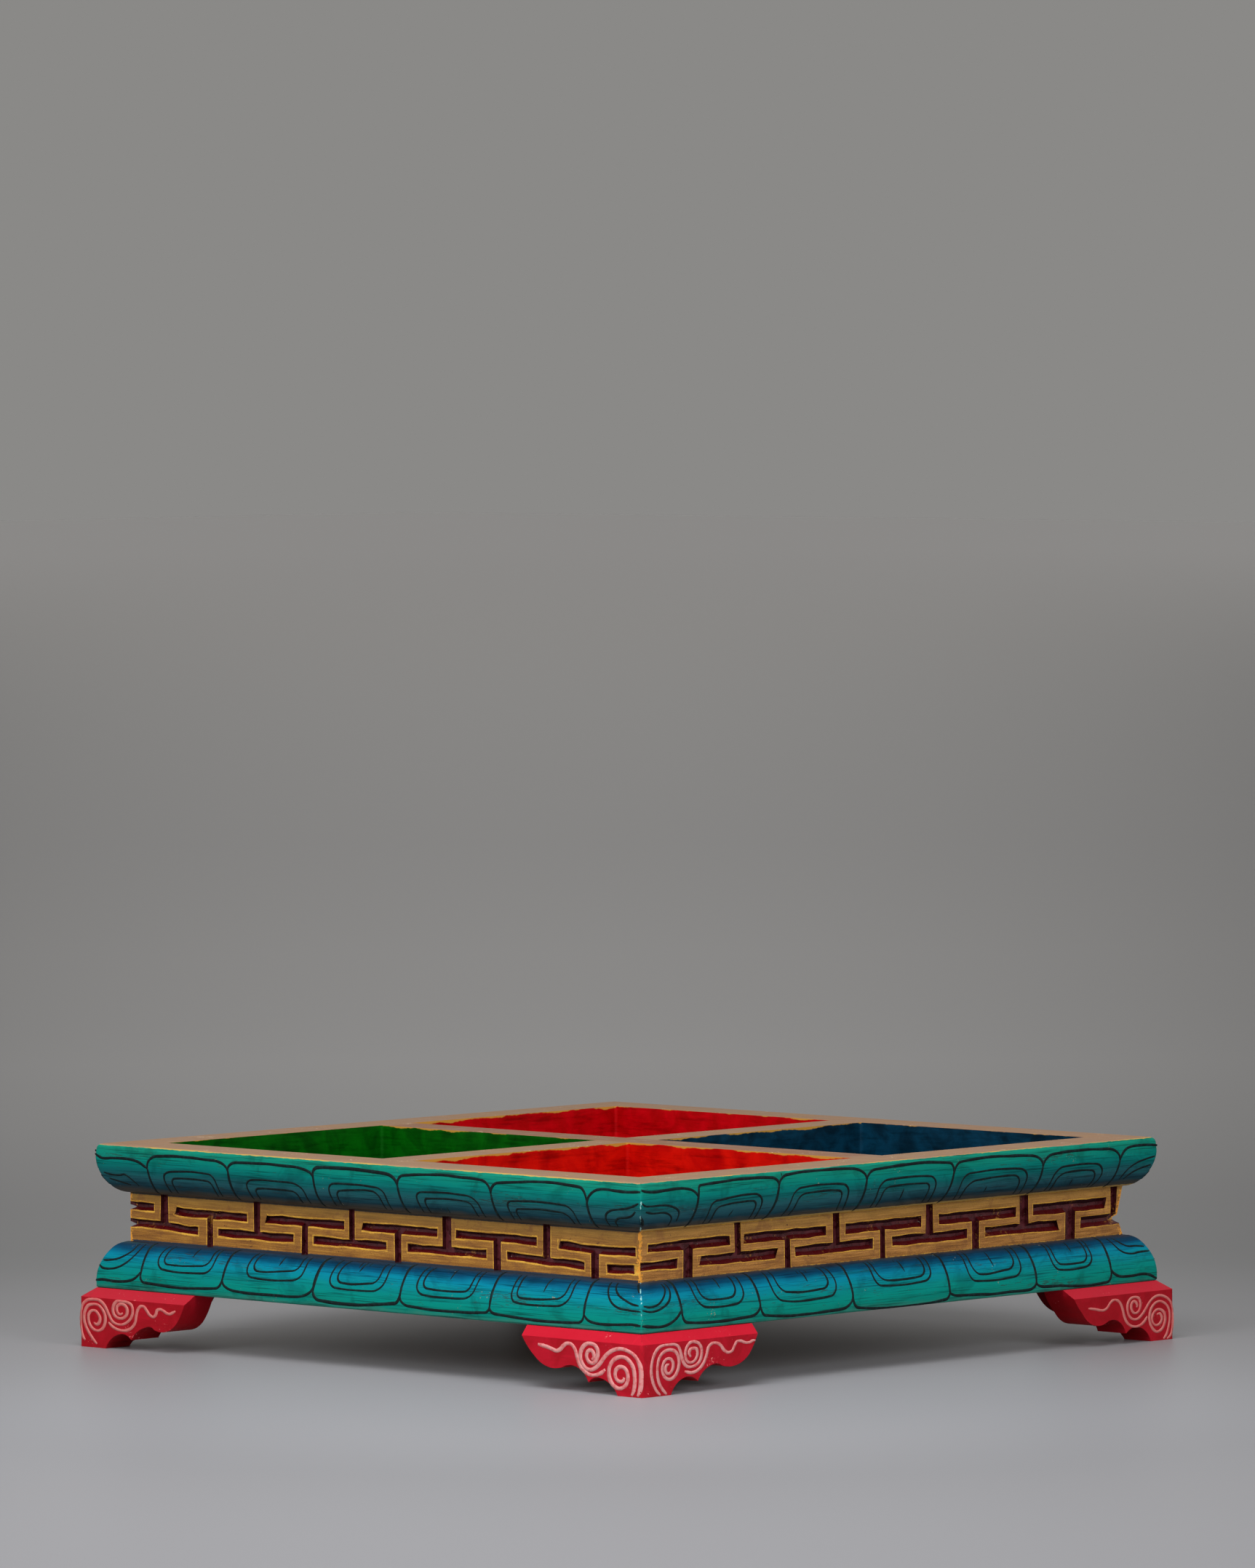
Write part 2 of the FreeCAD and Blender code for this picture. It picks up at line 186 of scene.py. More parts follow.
def ramp(tree, value, stops):
    """A colour ramp through (place, colour) stops."""
    made = add_node(tree, "ValToRGB", {"Fac": value})
    band = made.color_ramp
    while len(band.elements) < len(stops):
        band.elements.new(1)
    for element, (place, colour) in zip(band.elements, stops):
        element.position = place
        element.color = colour
    return made.outputs["Color"]


def noise_at(tree, vector, scale, detail=3.0, roughness=0.55, distortion=0.0):
    sockets = {"Vector": vector, "Scale": scale, "Detail": detail, "Roughness": roughness,
               "Distortion": distortion}
    return add_node(tree, "TexNoise", sockets).outputs["Fac"]


def stretched(tree, vector, stretch, shift=(0, 0, 0)):
    sockets = {"Vector": vector, "Scale": stretch, "Location": shift}
    return add_node(tree, "Mapping", sockets).outputs["Vector"]


def new_group(name, inputs, outputs):
    """An empty node group with named number and vector sockets."""
    group = bpy.data.node_groups.new(name, "ShaderNodeTree")
    for kind, sockets in (("INPUT", inputs), ("OUTPUT", outputs)):
        for socket_name, value in sockets.items():
            vector = value is None
            socket_type = "NodeSocketVector" if vector else "NodeSocketFloat"
            made = group.interface.new_socket(socket_name, in_out=kind, socket_type=socket_type)
            if not vector:
                made.default_value = value
    ends = group.nodes.new("NodeGroupInput"), group.nodes.new("NodeGroupOutput")
    return group, ends[0].outputs, ends[1].inputs


def use_group(tree, group, sockets):
    made = add_node(tree, "Group", node_tree=group)
    for key, value in sockets.items():
        if isinstance(value, bpy.types.NodeSocket):
            tree.links.new(value, made.inputs[key])
        else:
            made.inputs[key].default_value = value
    return made.outputs


def new_material(name):
    """A material with an empty Principled shader; gives back the material, its tree and the shader."""
    material = bpy.data.materials.new(name)
    material.use_nodes = True
    tree = material.node_tree
    shader = tree.nodes["Principled BSDF"]
    return material, tree, shader


def in_millimetres(tree, vector):
    made = add_node(tree, "VectorMath", {0: vector, 1: (1000, 1000, 1000)}, operation="MULTIPLY")
    return made.outputs[0]


def object_place(tree):
    """Object coordinates in millimetres."""
    return in_millimetres(tree, add_node(tree, "TexCoord").outputs["Object"])


def rail_place(tree):
    """The rail's own map in millimetres: along the side, and across the moulding from its throat."""
    return in_millimetres(tree, add_node(tree, "UVMap", uv_map="along_across").outputs["UV"])


# %% [markdown]
# ### The shared effects
# Streaks are noise squeezed hard across the brush's direction. Mottling is two sizes of cloud. Chips are
# the rare peaks of a fine noise, kept in clusters by a coarse one. Mitre wear, which on the gold is partly a
# painted highlight, is strongest where the distances from the two middle planes are equal, which is exactly
# the diagonal of the square tray.
# Two helpers tell the tray's sides apart: one runs round the tray, one picks the right-hand side.

# %% Build the effect groups
def make_brush_streaks():
    sockets = {"Place": None, "Length": 20.0, "Width": 0.5}
    group, given, result = new_group("brush_streaks", sockets, {"Streaks": 0.5})
    across = add_node(group, "VectorMath", {0: given["Place"]}, operation="MULTIPLY")
    spacing = add_node(group, "CombineXYZ")
    for socket, size in (("X", "Length"), ("Y", "Width"), ("Z", "Width")):
        group.links.new(calc(group, "DIVIDE", 1.0, given[size]), spacing.inputs[socket])
    group.links.new(spacing.outputs[0], across.inputs[1])
    fine = noise_at(group, across.outputs[0], 1.0, 4.0, 0.6)
    broad = noise_at(group, stretched(group, across.outputs[0], (0.6, 0.22, 0.22), (7, 3, 5)), 1.0, 2.0)
    group.links.new(total(group, product(group, fine, 0.6), product(group, broad, 0.4)),
                    result["Streaks"])
    return group


def make_cloudy_mottle():
    group, given, result = new_group("cloudy_mottle", {"Place": None, "Size": 10.0}, {"Mottle": 0.5})
    scaled = add_node(group, "VectorMath", {0: given["Place"]}, operation="SCALE")
    group.links.new(calc(group, "DIVIDE", 1.0, given["Size"]), scaled.inputs["Scale"])
    clouds = noise_at(group, scaled.outputs[0], 1.0, 5.0, 0.62, 0.6)
    group.links.new(fade(group, clouds, 0.3, 0.7), result["Mottle"])
    return group


def make_chips():
    group, given, result = new_group("chips", {"Place": None, "Size": 1.0, "Amount": 0.5}, {"Chips": 0.0})
    scaled = add_node(group, "VectorMath", {0: given["Place"]}, operation="SCALE")
    group.links.new(calc(group, "DIVIDE", 1.0, given["Size"]), scaled.inputs["Scale"])
    flecks = noise_at(group, scaled.outputs[0], 1.0, 3.0, 0.7)
    clusters = noise_at(group, stretched(group, scaled.outputs[0], (0.09, 0.09, 0.09), (11, 4, 8)), 1.0, 2.0)
    height = total(group, flecks, product(group, less(group, clusters, 0.5), 0.7))
    limit = less(group, 0.82, product(group, given["Amount"], 0.3))
    group.links.new(fade(group, less(group, height, limit), 0.0, 0.02), result["Chips"])
    return group


def make_mitre_wear_and_highlight():
    group, given, result = new_group("mitre_wear_and_highlight", {"Place": None, "Width": 1.0, "Gaps": 1.0}, {"WearAndHighlight": 0.0})
    parts = add_node(group, "SeparateXYZ", {0: given["Place"]})
    off_mitre = calc(group, "ABSOLUTE", less(group, calc(group, "ABSOLUTE", parts.outputs[0]),
                                             calc(group, "ABSOLUTE", parts.outputs[1])))
    ragged = noise_at(group, given["Place"], 0.9, 3.0, 0.6)
    kept = fade(group, noise_at(group, given["Place"], 0.17, 2.0), 0.56, 0.47)
    kept = less(group, 1.0, product(group, given["Gaps"], kept))
    reach = product(group, given["Width"], fade(group, ragged, 0.38, 0.62))
    reach = product(group, reach, kept)
    group.links.new(fade(group, less(group, reach, off_mitre), 0.0, 0.25), result["WearAndHighlight"])
    return group


def round_the_tray(tree, solid, height):
    """Along the side and up, without the direction across it, so that streaks never repeat next door."""
    parts = add_node(tree, "SeparateXYZ", {0: solid}).outputs
    return add_node(tree, "CombineXYZ", {0: total(tree, parts[0], parts[1]), 1: height}).outputs[0]


def right_side(tree, solid):
    """1 on the side facing plus X and 0 on the others."""
    parts = add_node(tree, "SeparateXYZ", {0: solid}).outputs
    lead = less(tree, parts[0], calc(tree, "ABSOLUTE", parts[1]))
    return fade(tree, lead, -0.5, 0.5)


brush_streaks = make_brush_streaks()
cloudy_mottle = make_cloudy_mottle()
chips = make_chips()
mitre_wear_and_highlight = make_mitre_wear_and_highlight()
print("effect groups:", [g.name for g in bpy.data.node_groups])

# %% [markdown]
# ### The petal paint of the rails
# The painter shaded each rail from dark blue at its throat to a bright teal at its lip, so the colour
# follows the distance across the moulding, which the rail's own map holds. Streaks run along the rail.
# The lip of the top rail shows the tan rim and a thin yellow line; the mitres show pale bare spots.

# %% The petal paint
across_longest = 30.0


def petal_paint(name, bands, spot_colour, lip_start, lip_colour, edge_colour, smear):
    """bands are (distance from the throat in mm, colour) stops; past lip_start the lip colour shows.
    smear is (reach in mm, strength, colour) of the gold that strayed onto the right rail's throat."""
    material, tree, shader = new_material(name)
    solid = object_place(tree)
    across = add_node(tree, "SeparateXYZ", {0: rail_place(tree)}).outputs[1]
    place = round_the_tray(tree, solid, across)
    streaks = use_group(tree, brush_streaks, {"Place": place, "Length": 24.0, "Width": 0.45})["Streaks"]
    broad = use_group(tree, brush_streaks, {"Place": place, "Length": 40.0, "Width": 1.6})["Streaks"]
    clouds = use_group(tree, cloudy_mottle, {"Place": place, "Size": 16.0})["Mottle"]
    wobble = product(tree, less(tree, noise_at(tree, place, 0.07, 2.0), 0.5), 3.4)
    wobble = total(tree, wobble, product(tree, less(tree, broad, 0.5), 4.5))
    shifted = calc(tree, "DIVIDE", total(tree, across, wobble), across_longest)
    colour = ramp(tree, shifted, [(at / across_longest, shade) for at, shade in bands])
    darker = mixed(tree, 1.0, colour, paint(136, 148, 152), "MULTIPLY")
    colour = mixed(tree, fade(tree, streaks, 0.52, 0.34, 0.0, 0.95), colour, darker)
    paler = mixed(tree, 0.3, colour, paint(30, 168, 156))
    colour = mixed(tree, fade(tree, broad, 0.54, 0.74, 0.0, 0.6), colour, paler)
    colour = mixed(tree, fade(tree, clouds, 0.4, 0.0, 0.0, 0.4), colour, darker)
    squeezed = stretched(tree, place, (0.1, 1, 1))
    scratches = use_group(tree, chips, {"Place": squeezed, "Size": 0.5, "Amount": 0.5})["Chips"]
    colour = mixed(tree, product(tree, scratches, 0.65), colour, paint(44, 46, 40))
    ragged = less(tree, noise_at(tree, place, 0.3, 4.0), 0.5)
    edge = total(tree, across, product(tree, ragged, 1.1))
    edge = less(tree, edge, product(tree, right_side(tree, solid), 0.3))
    colour = mixed(tree, fade(tree, edge, lip_start - 0.1, lip_start + 0.1), colour, edge_colour)
    thickness = fade(tree, noise_at(tree, place, 0.024, 2.0), 0.44, 0.58, 0.12, 0.85)
    inner_edge = less(tree, total(tree, across, product(tree, ragged, 0.8)), thickness)
    colour = mixed(tree, fade(tree, inner_edge, lip_start - 0.12, lip_start + 0.12), colour, lip_colour)
    smear_reach, smear_strength, smear_colour = smear
    smeared = total(tree, across, product(tree, ragged, 1.2))
    smeared = fade(tree, smeared, smear_reach + 0.3, smear_reach - 0.3, 0.0, smear_strength)
    colour = mixed(tree, product(tree, smeared, right_side(tree, solid)), colour, smear_colour)
    spots = use_group(tree, chips, {"Place": solid, "Size": 0.8, "Amount": 0.12})["Chips"]
    colour = mixed(tree, spots, colour, paint(150, 140, 110))
    along_mitre = use_group(tree, mitre_wear_and_highlight, {"Place": solid, "Width": 0.7, "Gaps": 0.9})["WearAndHighlight"]
    colour = mixed(tree, product(tree, along_mitre, 0.85), colour, spot_colour)
    tree.links.new(colour, shader.inputs["Base Color"])
    rough = fade(tree, streaks, 0.3, 0.7, 0.42, 0.62)
    tree.links.new(rough, shader.inputs["Roughness"])
    relief = less(tree, streaks, product(tree, spots, 0.6))
    bump = add_node(tree, "Bump", {"Height": relief, "Strength": 0.25, "Distance": 0.0002})
    tree.links.new(bump.outputs["Normal"], shader.inputs["Normal"])
    shader.inputs["Specular IOR Level"].default_value = 0.05
    return material


top_bands = [
    (0.0, paint(60, 52, 44)),
    (3.0, paint(80, 74, 67)),
    (5.2, paint(64, 65, 61)),
    (7.2, paint(22, 58, 70)),
    (9.2, paint(32, 77, 88)),
    (11.5, paint(36, 91, 99)),
    (14.5, paint(12, 98, 99)),
    (17.5, paint(2, 121, 113)),
    (20.5, paint(8, 128, 112)),
    (22.8, paint(16, 130, 109)),
]
base_bands = [
    (0.0, paint(50, 52, 62)),
    (2.0, paint(38, 52, 70)),
    (3.8, paint(14, 52, 77)),
    (5.6, paint(3, 65, 97)),
    (7.2, paint(2, 95, 125)),
    (9.2, paint(2, 123, 148)),
    (11.8, paint(2, 125, 138)),
    (14.8, paint(1, 126, 123)),
    (18.0, paint(0, 132, 120)),
    (21.0, paint(6, 124, 109)),
    (23.4, paint(50, 122, 106)),
]
rim_tan, undercoat_yellow = paint(158, 126, 100), paint(190, 158, 84)
mitre_cyan, bare_dark = paint(150, 205, 200), paint(70, 55, 45)
top_smear, base_smear = (3.7, 0.95, paint(194, 162, 94)), (1.6, 0.2, paint(100, 86, 72))
top_lip, base_lip, base_edge = 24.1, 24.4, paint(90, 88, 62)
top_petal_paint = petal_paint(
    "top_petal_paint", top_bands, mitre_cyan, top_lip, rim_tan, undercoat_yellow, top_smear)
base_petal_paint = petal_paint(
    "base_petal_paint", base_bands, mitre_cyan, base_lip, bare_dark, base_edge, base_smear)
print("petal paints:", top_petal_paint.name, base_petal_paint.name)

# %% [markdown]
# ## The moulded rails
# Top and base rail share one profile, turned upside down: a short flat at the lip, a wide curve and a
# tight curve that ends level in the throat. The outline is grown from a single vertex with spins, so the
# curves are true arcs. The section is extruded along the side, its long edges are divided so that the
# rail can be a little uneven, as a planed and painted one is, and its ends are drawn in to a mitre whose
# arris is rounded, most at the rim, where the corners are knocked.

# %% The section of a rail
reach, tight_radius = rail_face - frieze_face, 7 * mm
rail_shapes = {
    "top": {"throat": frieze_top, "lip": rim_height, "flat": 4.8 * mm, "round": 1.8 * mm, "upside": 1},
    "base": {"throat": frieze_bottom, "lip": foot_height, "flat": 3.0 * mm, "round": 0.9 * mm, "upside": -1},
}


def spin_on(bm, vertex, centre, angle, steps):
    """Carry the chain on from vertex round a centre in the plane x = 0; gives back its new end."""
    spun = bmesh.ops.spin(bm, geom=[vertex], cent=centre, axis=(1, 0, 0), angle=angle, steps=steps)
    return next(item for item in spun["geom_last"] if isinstance(item, bmesh.types.BMVert))


def rail_chain(shape):
    """The outside of the section from lip to throat, as points (out, height above the throat)."""
    height = abs(shape["lip"] - shape["throat"])
    straight_end = height - shape["flat"]
    wide = (reach ** 2 + straight_end ** 2 - 2 * straight_end * tight_radius) / (2 * (reach - tight_radius))
    wide_centre = Vector((0, wide - rail_face, straight_end))
    tight_centre = Vector((0, -frieze_face, tight_radius))
    across = tight_centre - wide_centre
    wide_angle = atan2(-across.z, -across.y)
    bm = bmesh.new()
    start = bm.verts.new((0, shape["round"] - rail_face, height))
    edge_end = spin_on(bm, start, start.co - Vector((0, 0, shape["round"])), pi / 2, 6)
    grown = bmesh.ops.extrude_vert_indiv(bm, verts=[edge_end])["verts"][0]
    grown.co.z = straight_end
    meeting = spin_on(bm, grown, wide_centre, wide_angle, 16)
    spin_on(bm, meeting, tight_centre, pi / 2 - wide_angle, 10)
    chain = [(-vertex.co.y, vertex.co.z) for vertex in bm.verts]
    bm.free()
    return chain


def measured_along(chain):
    """Each point's distance from the throat, the last of the chain."""
    distances = [0.0]
    for (out, high), (next_out, next_high) in zip(chain[::-1], chain[-2::-1]):
        distances.append(distances[-1] + hypot(next_out - out, next_high - high))
    return distances[::-1]


for kind, shape in rail_shapes.items():
    shape["chain"] = rail_chain(shape)
    shape["across"] = measured_along(shape["chain"])
    print(kind, "rail, millimetres across the moulding:", round(shape["across"][0] / mm, 2))


# %% Places on a rail's face
def unevenness(side, kind, along, across):
    """How far the hand-planed face stands out, in metres; nothing at the lip, throat or mitres."""
    shape = rail_shapes[kind]
    share = across / shape["across"][0]
    seed = sides.index(side) * 3.7 + shape["upside"] * 11.3
    slow = noise.noise((along * 22, share * 1.3, seed))
    quick = noise.noise((along * 90, share * 4, seed + 5))
    ends = soft_step((rail_face - abs(along)) / (14 * mm))
    return (slow * 0.22 + quick * 0.09) * mm * ends * soft_step(share * 4) * soft_step((1 - share) * 5)


def on_rail(side, kind, along, across, lift=0.0):
    """The point on the front rail at these distances, lifted off the face."""
    shape = rail_shapes[kind]
    chain, distances = shape["chain"], shape["across"]
    low = 0
    for index in range(len(distances) - 1):
        if distances[index + 1] <= across:
            low = index
            break
    else:
        low = len(distances) - 2
    span = distances[low] - distances[low + 1]
    share = (across - distances[low + 1]) / span
    (out_top, high_top), (out_low, high_low) = chain[low], chain[low + 1]
    normal = Vector((high_top - high_low, out_low - out_top)).normalized()
    rise = lift + unevenness(side, kind, along, across)
    out = out_low + (out_top - out_low) * share + normal.x * rise
    height = high_low + (high_top - high_low) * share + normal.y * rise
    return out, shape["throat"] + height * shape["upside"]


def spread_towards_ends(share):
    """Rows of faces crowd towards the mitres, where the arris is eased."""
    return share * 0.3 + sin(share * pi / 2) * 0.7


def eased_mitre(along, out, radius):
    """How far the arris of the mitre is rounded back at this distance from it."""
    gap = out - abs(along)
    if gap >= radius:
        return 0.0
    return radius - sqrt(radius ** 2 - (radius - max(gap, radius * 0.29)) ** 2)


def make_rail(side, kind, material):
    shape = rail_shapes[kind]
    chain, distances = shape["chain"], shape["across"]
    lip_height = chain[0][1]
    bm = bmesh.new()
    corners = chain + [(rim_back, 0), (rim_back, lip_height)]
    rows = [bm.verts.new((-rail_face, -out, height)) for out, height in corners]
    ring = bm.faces.new(rows)
    across_map = dict(zip(rows, distances + [-5 * mm, distances[0] + chain[0][0] - rim_back]))
    level_of = {(round(v.co.y, 6), round(v.co.z, 6)): across for v, across in across_map.items()}
    grown = bmesh.ops.extrude_face_region(bm, geom=[ring], use_keep_orig=True)
    far_end = [item for item in grown["geom"] if isinstance(item, bmesh.types.BMVert)]
    bmesh.ops.translate(bm, verts=far_end, vec=(rail_face * 2, 0, 0))
    long_edges = [e for e in bm.edges if abs(e.verts[0].co.x - e.verts[1].co.x) > rail_face]
    bmesh.ops.subdivide_edges(bm, edges=long_edges, cuts=149, use_grid_fill=True)
    bmesh.ops.recalc_face_normals(bm, faces=bm.faces)
    along_across = bm.loops.layers.uv.new("along_across")
    for vertex in bm.verts:
        across = level_of[round(vertex.co.y, 6), round(vertex.co.z, 6)]
        share = spread_towards_ends(abs(vertex.co.x) / rail_face)
        out, height = -vertex.co.y, vertex.co.z
        along = out * share * (1 if vertex.co.x > 0 else -1)
        z = shape["throat"] + height * shape["upside"]
        if 0 < across < distances[0]:
            out, z = on_rail(side, kind, along, across)
        if across >= 0 and out > frieze_face + 1 * mm:
            knocks = soft_step((across / mm - 19) / 5) if kind == "top" else 0
            out -= eased_mitre(along, out, (0.9 + 1.3 * knocks) * mm)
        limit = out if abs(share - 1) < 1e-6 else min(abs(along), out)
        along = limit * (1 if vertex.co.x > 0 else -1)
        vertex.co = (along, -out, z)
        for loop in vertex.link_loops:
            loop[along_across].uv = (along, across)
    for face in bm.faces:
        face.smooth = face.normal.y < -0.02 or len(face.verts) == 4
    for edge in bm.edges:
        edge.smooth = edge.calc_face_angle(0) < radians(32)
    if shape["upside"] < 0:
        bmesh.ops.reverse_faces(bm, faces=bm.faces)
    turned(bm, side)
    name = f"{kind}_rail_{side}"
    return finished(bm, f"moulded_{name}", [material], [name])


rail_paints = {"top": top_petal_paint, "base": base_petal_paint}
for side in sides:
    for kind in rail_shapes:
        piece = make_rail(side, kind, rail_paints[kind])
print("faces of one rail:", len(piece.data.polygons))

# %% [markdown]
# ## The painted petals
# Each side shows five lotus petals in outline and half a petal at either mitre. A petal is three arches,
# one inside the other, drawn with a fine brush in greenish black. A line of paint stands a hair above the
# ground, so every stroke is a narrow grid, thickened into a closed strip and laid on the rail's face.

# %% Draw a brush stroke
def smooth_path(points, spacing):
    """Points on a smooth curve through the given ones; every bend keeps to its own short stretch."""
    controls = [Vector(point) for point in points]
    controls = [controls[0] * 2 - controls[1]] + controls + [controls[-1] * 2 - controls[-2]]
    curve = []
    for before, start, end, after in zip(controls, controls[1:], controls[2:], controls[3:]):
        length = (end - start).length
        forward = (end - start).normalized()
        leaving = ((start - before).normalized() + forward) * (length / 6)
        arriving = ((after - end).normalized() + forward) * (length / 6)
        pieces = max(2, int(length / spacing) + 1)
        curve += interpolate_bezier(start, start + leaving, end - arriving, end, pieces + 1)[:-1]
    curve.append(controls[-2])
    return [point.to_2d() for point in curve]


def stroke(bm, points, width, place, ends=0.45, spacing=0.9, upright=0.0):
    """Lay a strip of paint along the points. place turns (along, across, lift) into a corner in space.
    upright is how much wider a flat brush paints when it moves across the face."""
    path = smooth_path(points, spacing)
    steps = len(path) - 1
    grid = bmesh.ops.create_grid(bm, x_segments=steps, y_segments=2, size=1)["verts"]
    faces = list(dict.fromkeys(face for vertex in grid for face in vertex.link_faces))
    grown = bmesh.ops.extrude_face_region(bm, geom=faces, use_keep_orig=True)["geom"]
    raised = {item for item in grown if isinstance(item, bmesh.types.BMVert)}
    seed = random.random() * 50
    for vertex in list(grid) + list(raised):
        index = min(steps, max(0, round((vertex.co.x + 1) / 2 * steps)))
        before, after = path[max(index - 1, 0)], path[min(index + 1, steps)]
        direction = (after - before).normalized()
        sideways = Vector((-direction.y, direction.x))
        to_end = min(index, steps - index) * spacing
        taper = ends + (1 - ends) * soft_step(to_end / (width * 2.2))
        swell = 1 + 0.22 * noise.noise((index * spacing * 0.13, seed, 0))
        swell += 0.1 * noise.noise((index * 0.7, 0, seed))
        half = width / 2 * taper * swell * (1 + upright * abs(direction.y))
        drift = noise.noise((index * spacing * 0.09, 3, seed)) * 0.22
        spot = path[index] + sideways * (vertex.co.y * half + drift)
        crown = 0.1 - 0.055 * vertex.co.y ** 2
        lift = crown if vertex in raised else -0.14
        vertex.co = place(spot.x, spot.y, lift)


def arch(left, right, crest_left, crest_right, rounds, feet, foot):
    """Control points of a petal's arch: up one leg, over its crest and down the other."""
    left_width, left_height, right_width, right_height = rounds
    left_leg, right_leg = [], []
    if foot is not None:
        left_knee, right_knee = (foot + crest_left - left_height) / 2, (foot + crest_right - right_height) / 2
        left_leg = [(left + feet[0], foot), (left + feet[0] * 0.3, left_knee)]
        right_leg = [(right + feet[1] * 0.3, right_knee), (right + feet[1], foot)]
    bend = ((0.0, 0.0), (0.08, 0.4), (0.3, 0.72), (0.62, 0.93), (1.0, 1.0))
    rising = [(left + left_width * x, crest_left - left_height * (1 - y)) for x, y in bend]
    falling = [(right - right_width * x, crest_right - right_height * (1 - y)) for x, y in bend[::-1]]
    return left_leg + rising + falling + right_leg


print("points of a plain arch:", len(arch(0, 40, 20, 20, (5, 4, 5, 4), (0, 0), 3)))

# %% [markdown]
# ### The petals of each rail
# All lengths are in millimetres: along the side from its middle, and across the moulding from its throat.
# The painter worked by eye, so no two petals agree, and the table keeps those differences. The outer
# arches spring from the dividing lines; the inner ones stand on the throat by themselves.

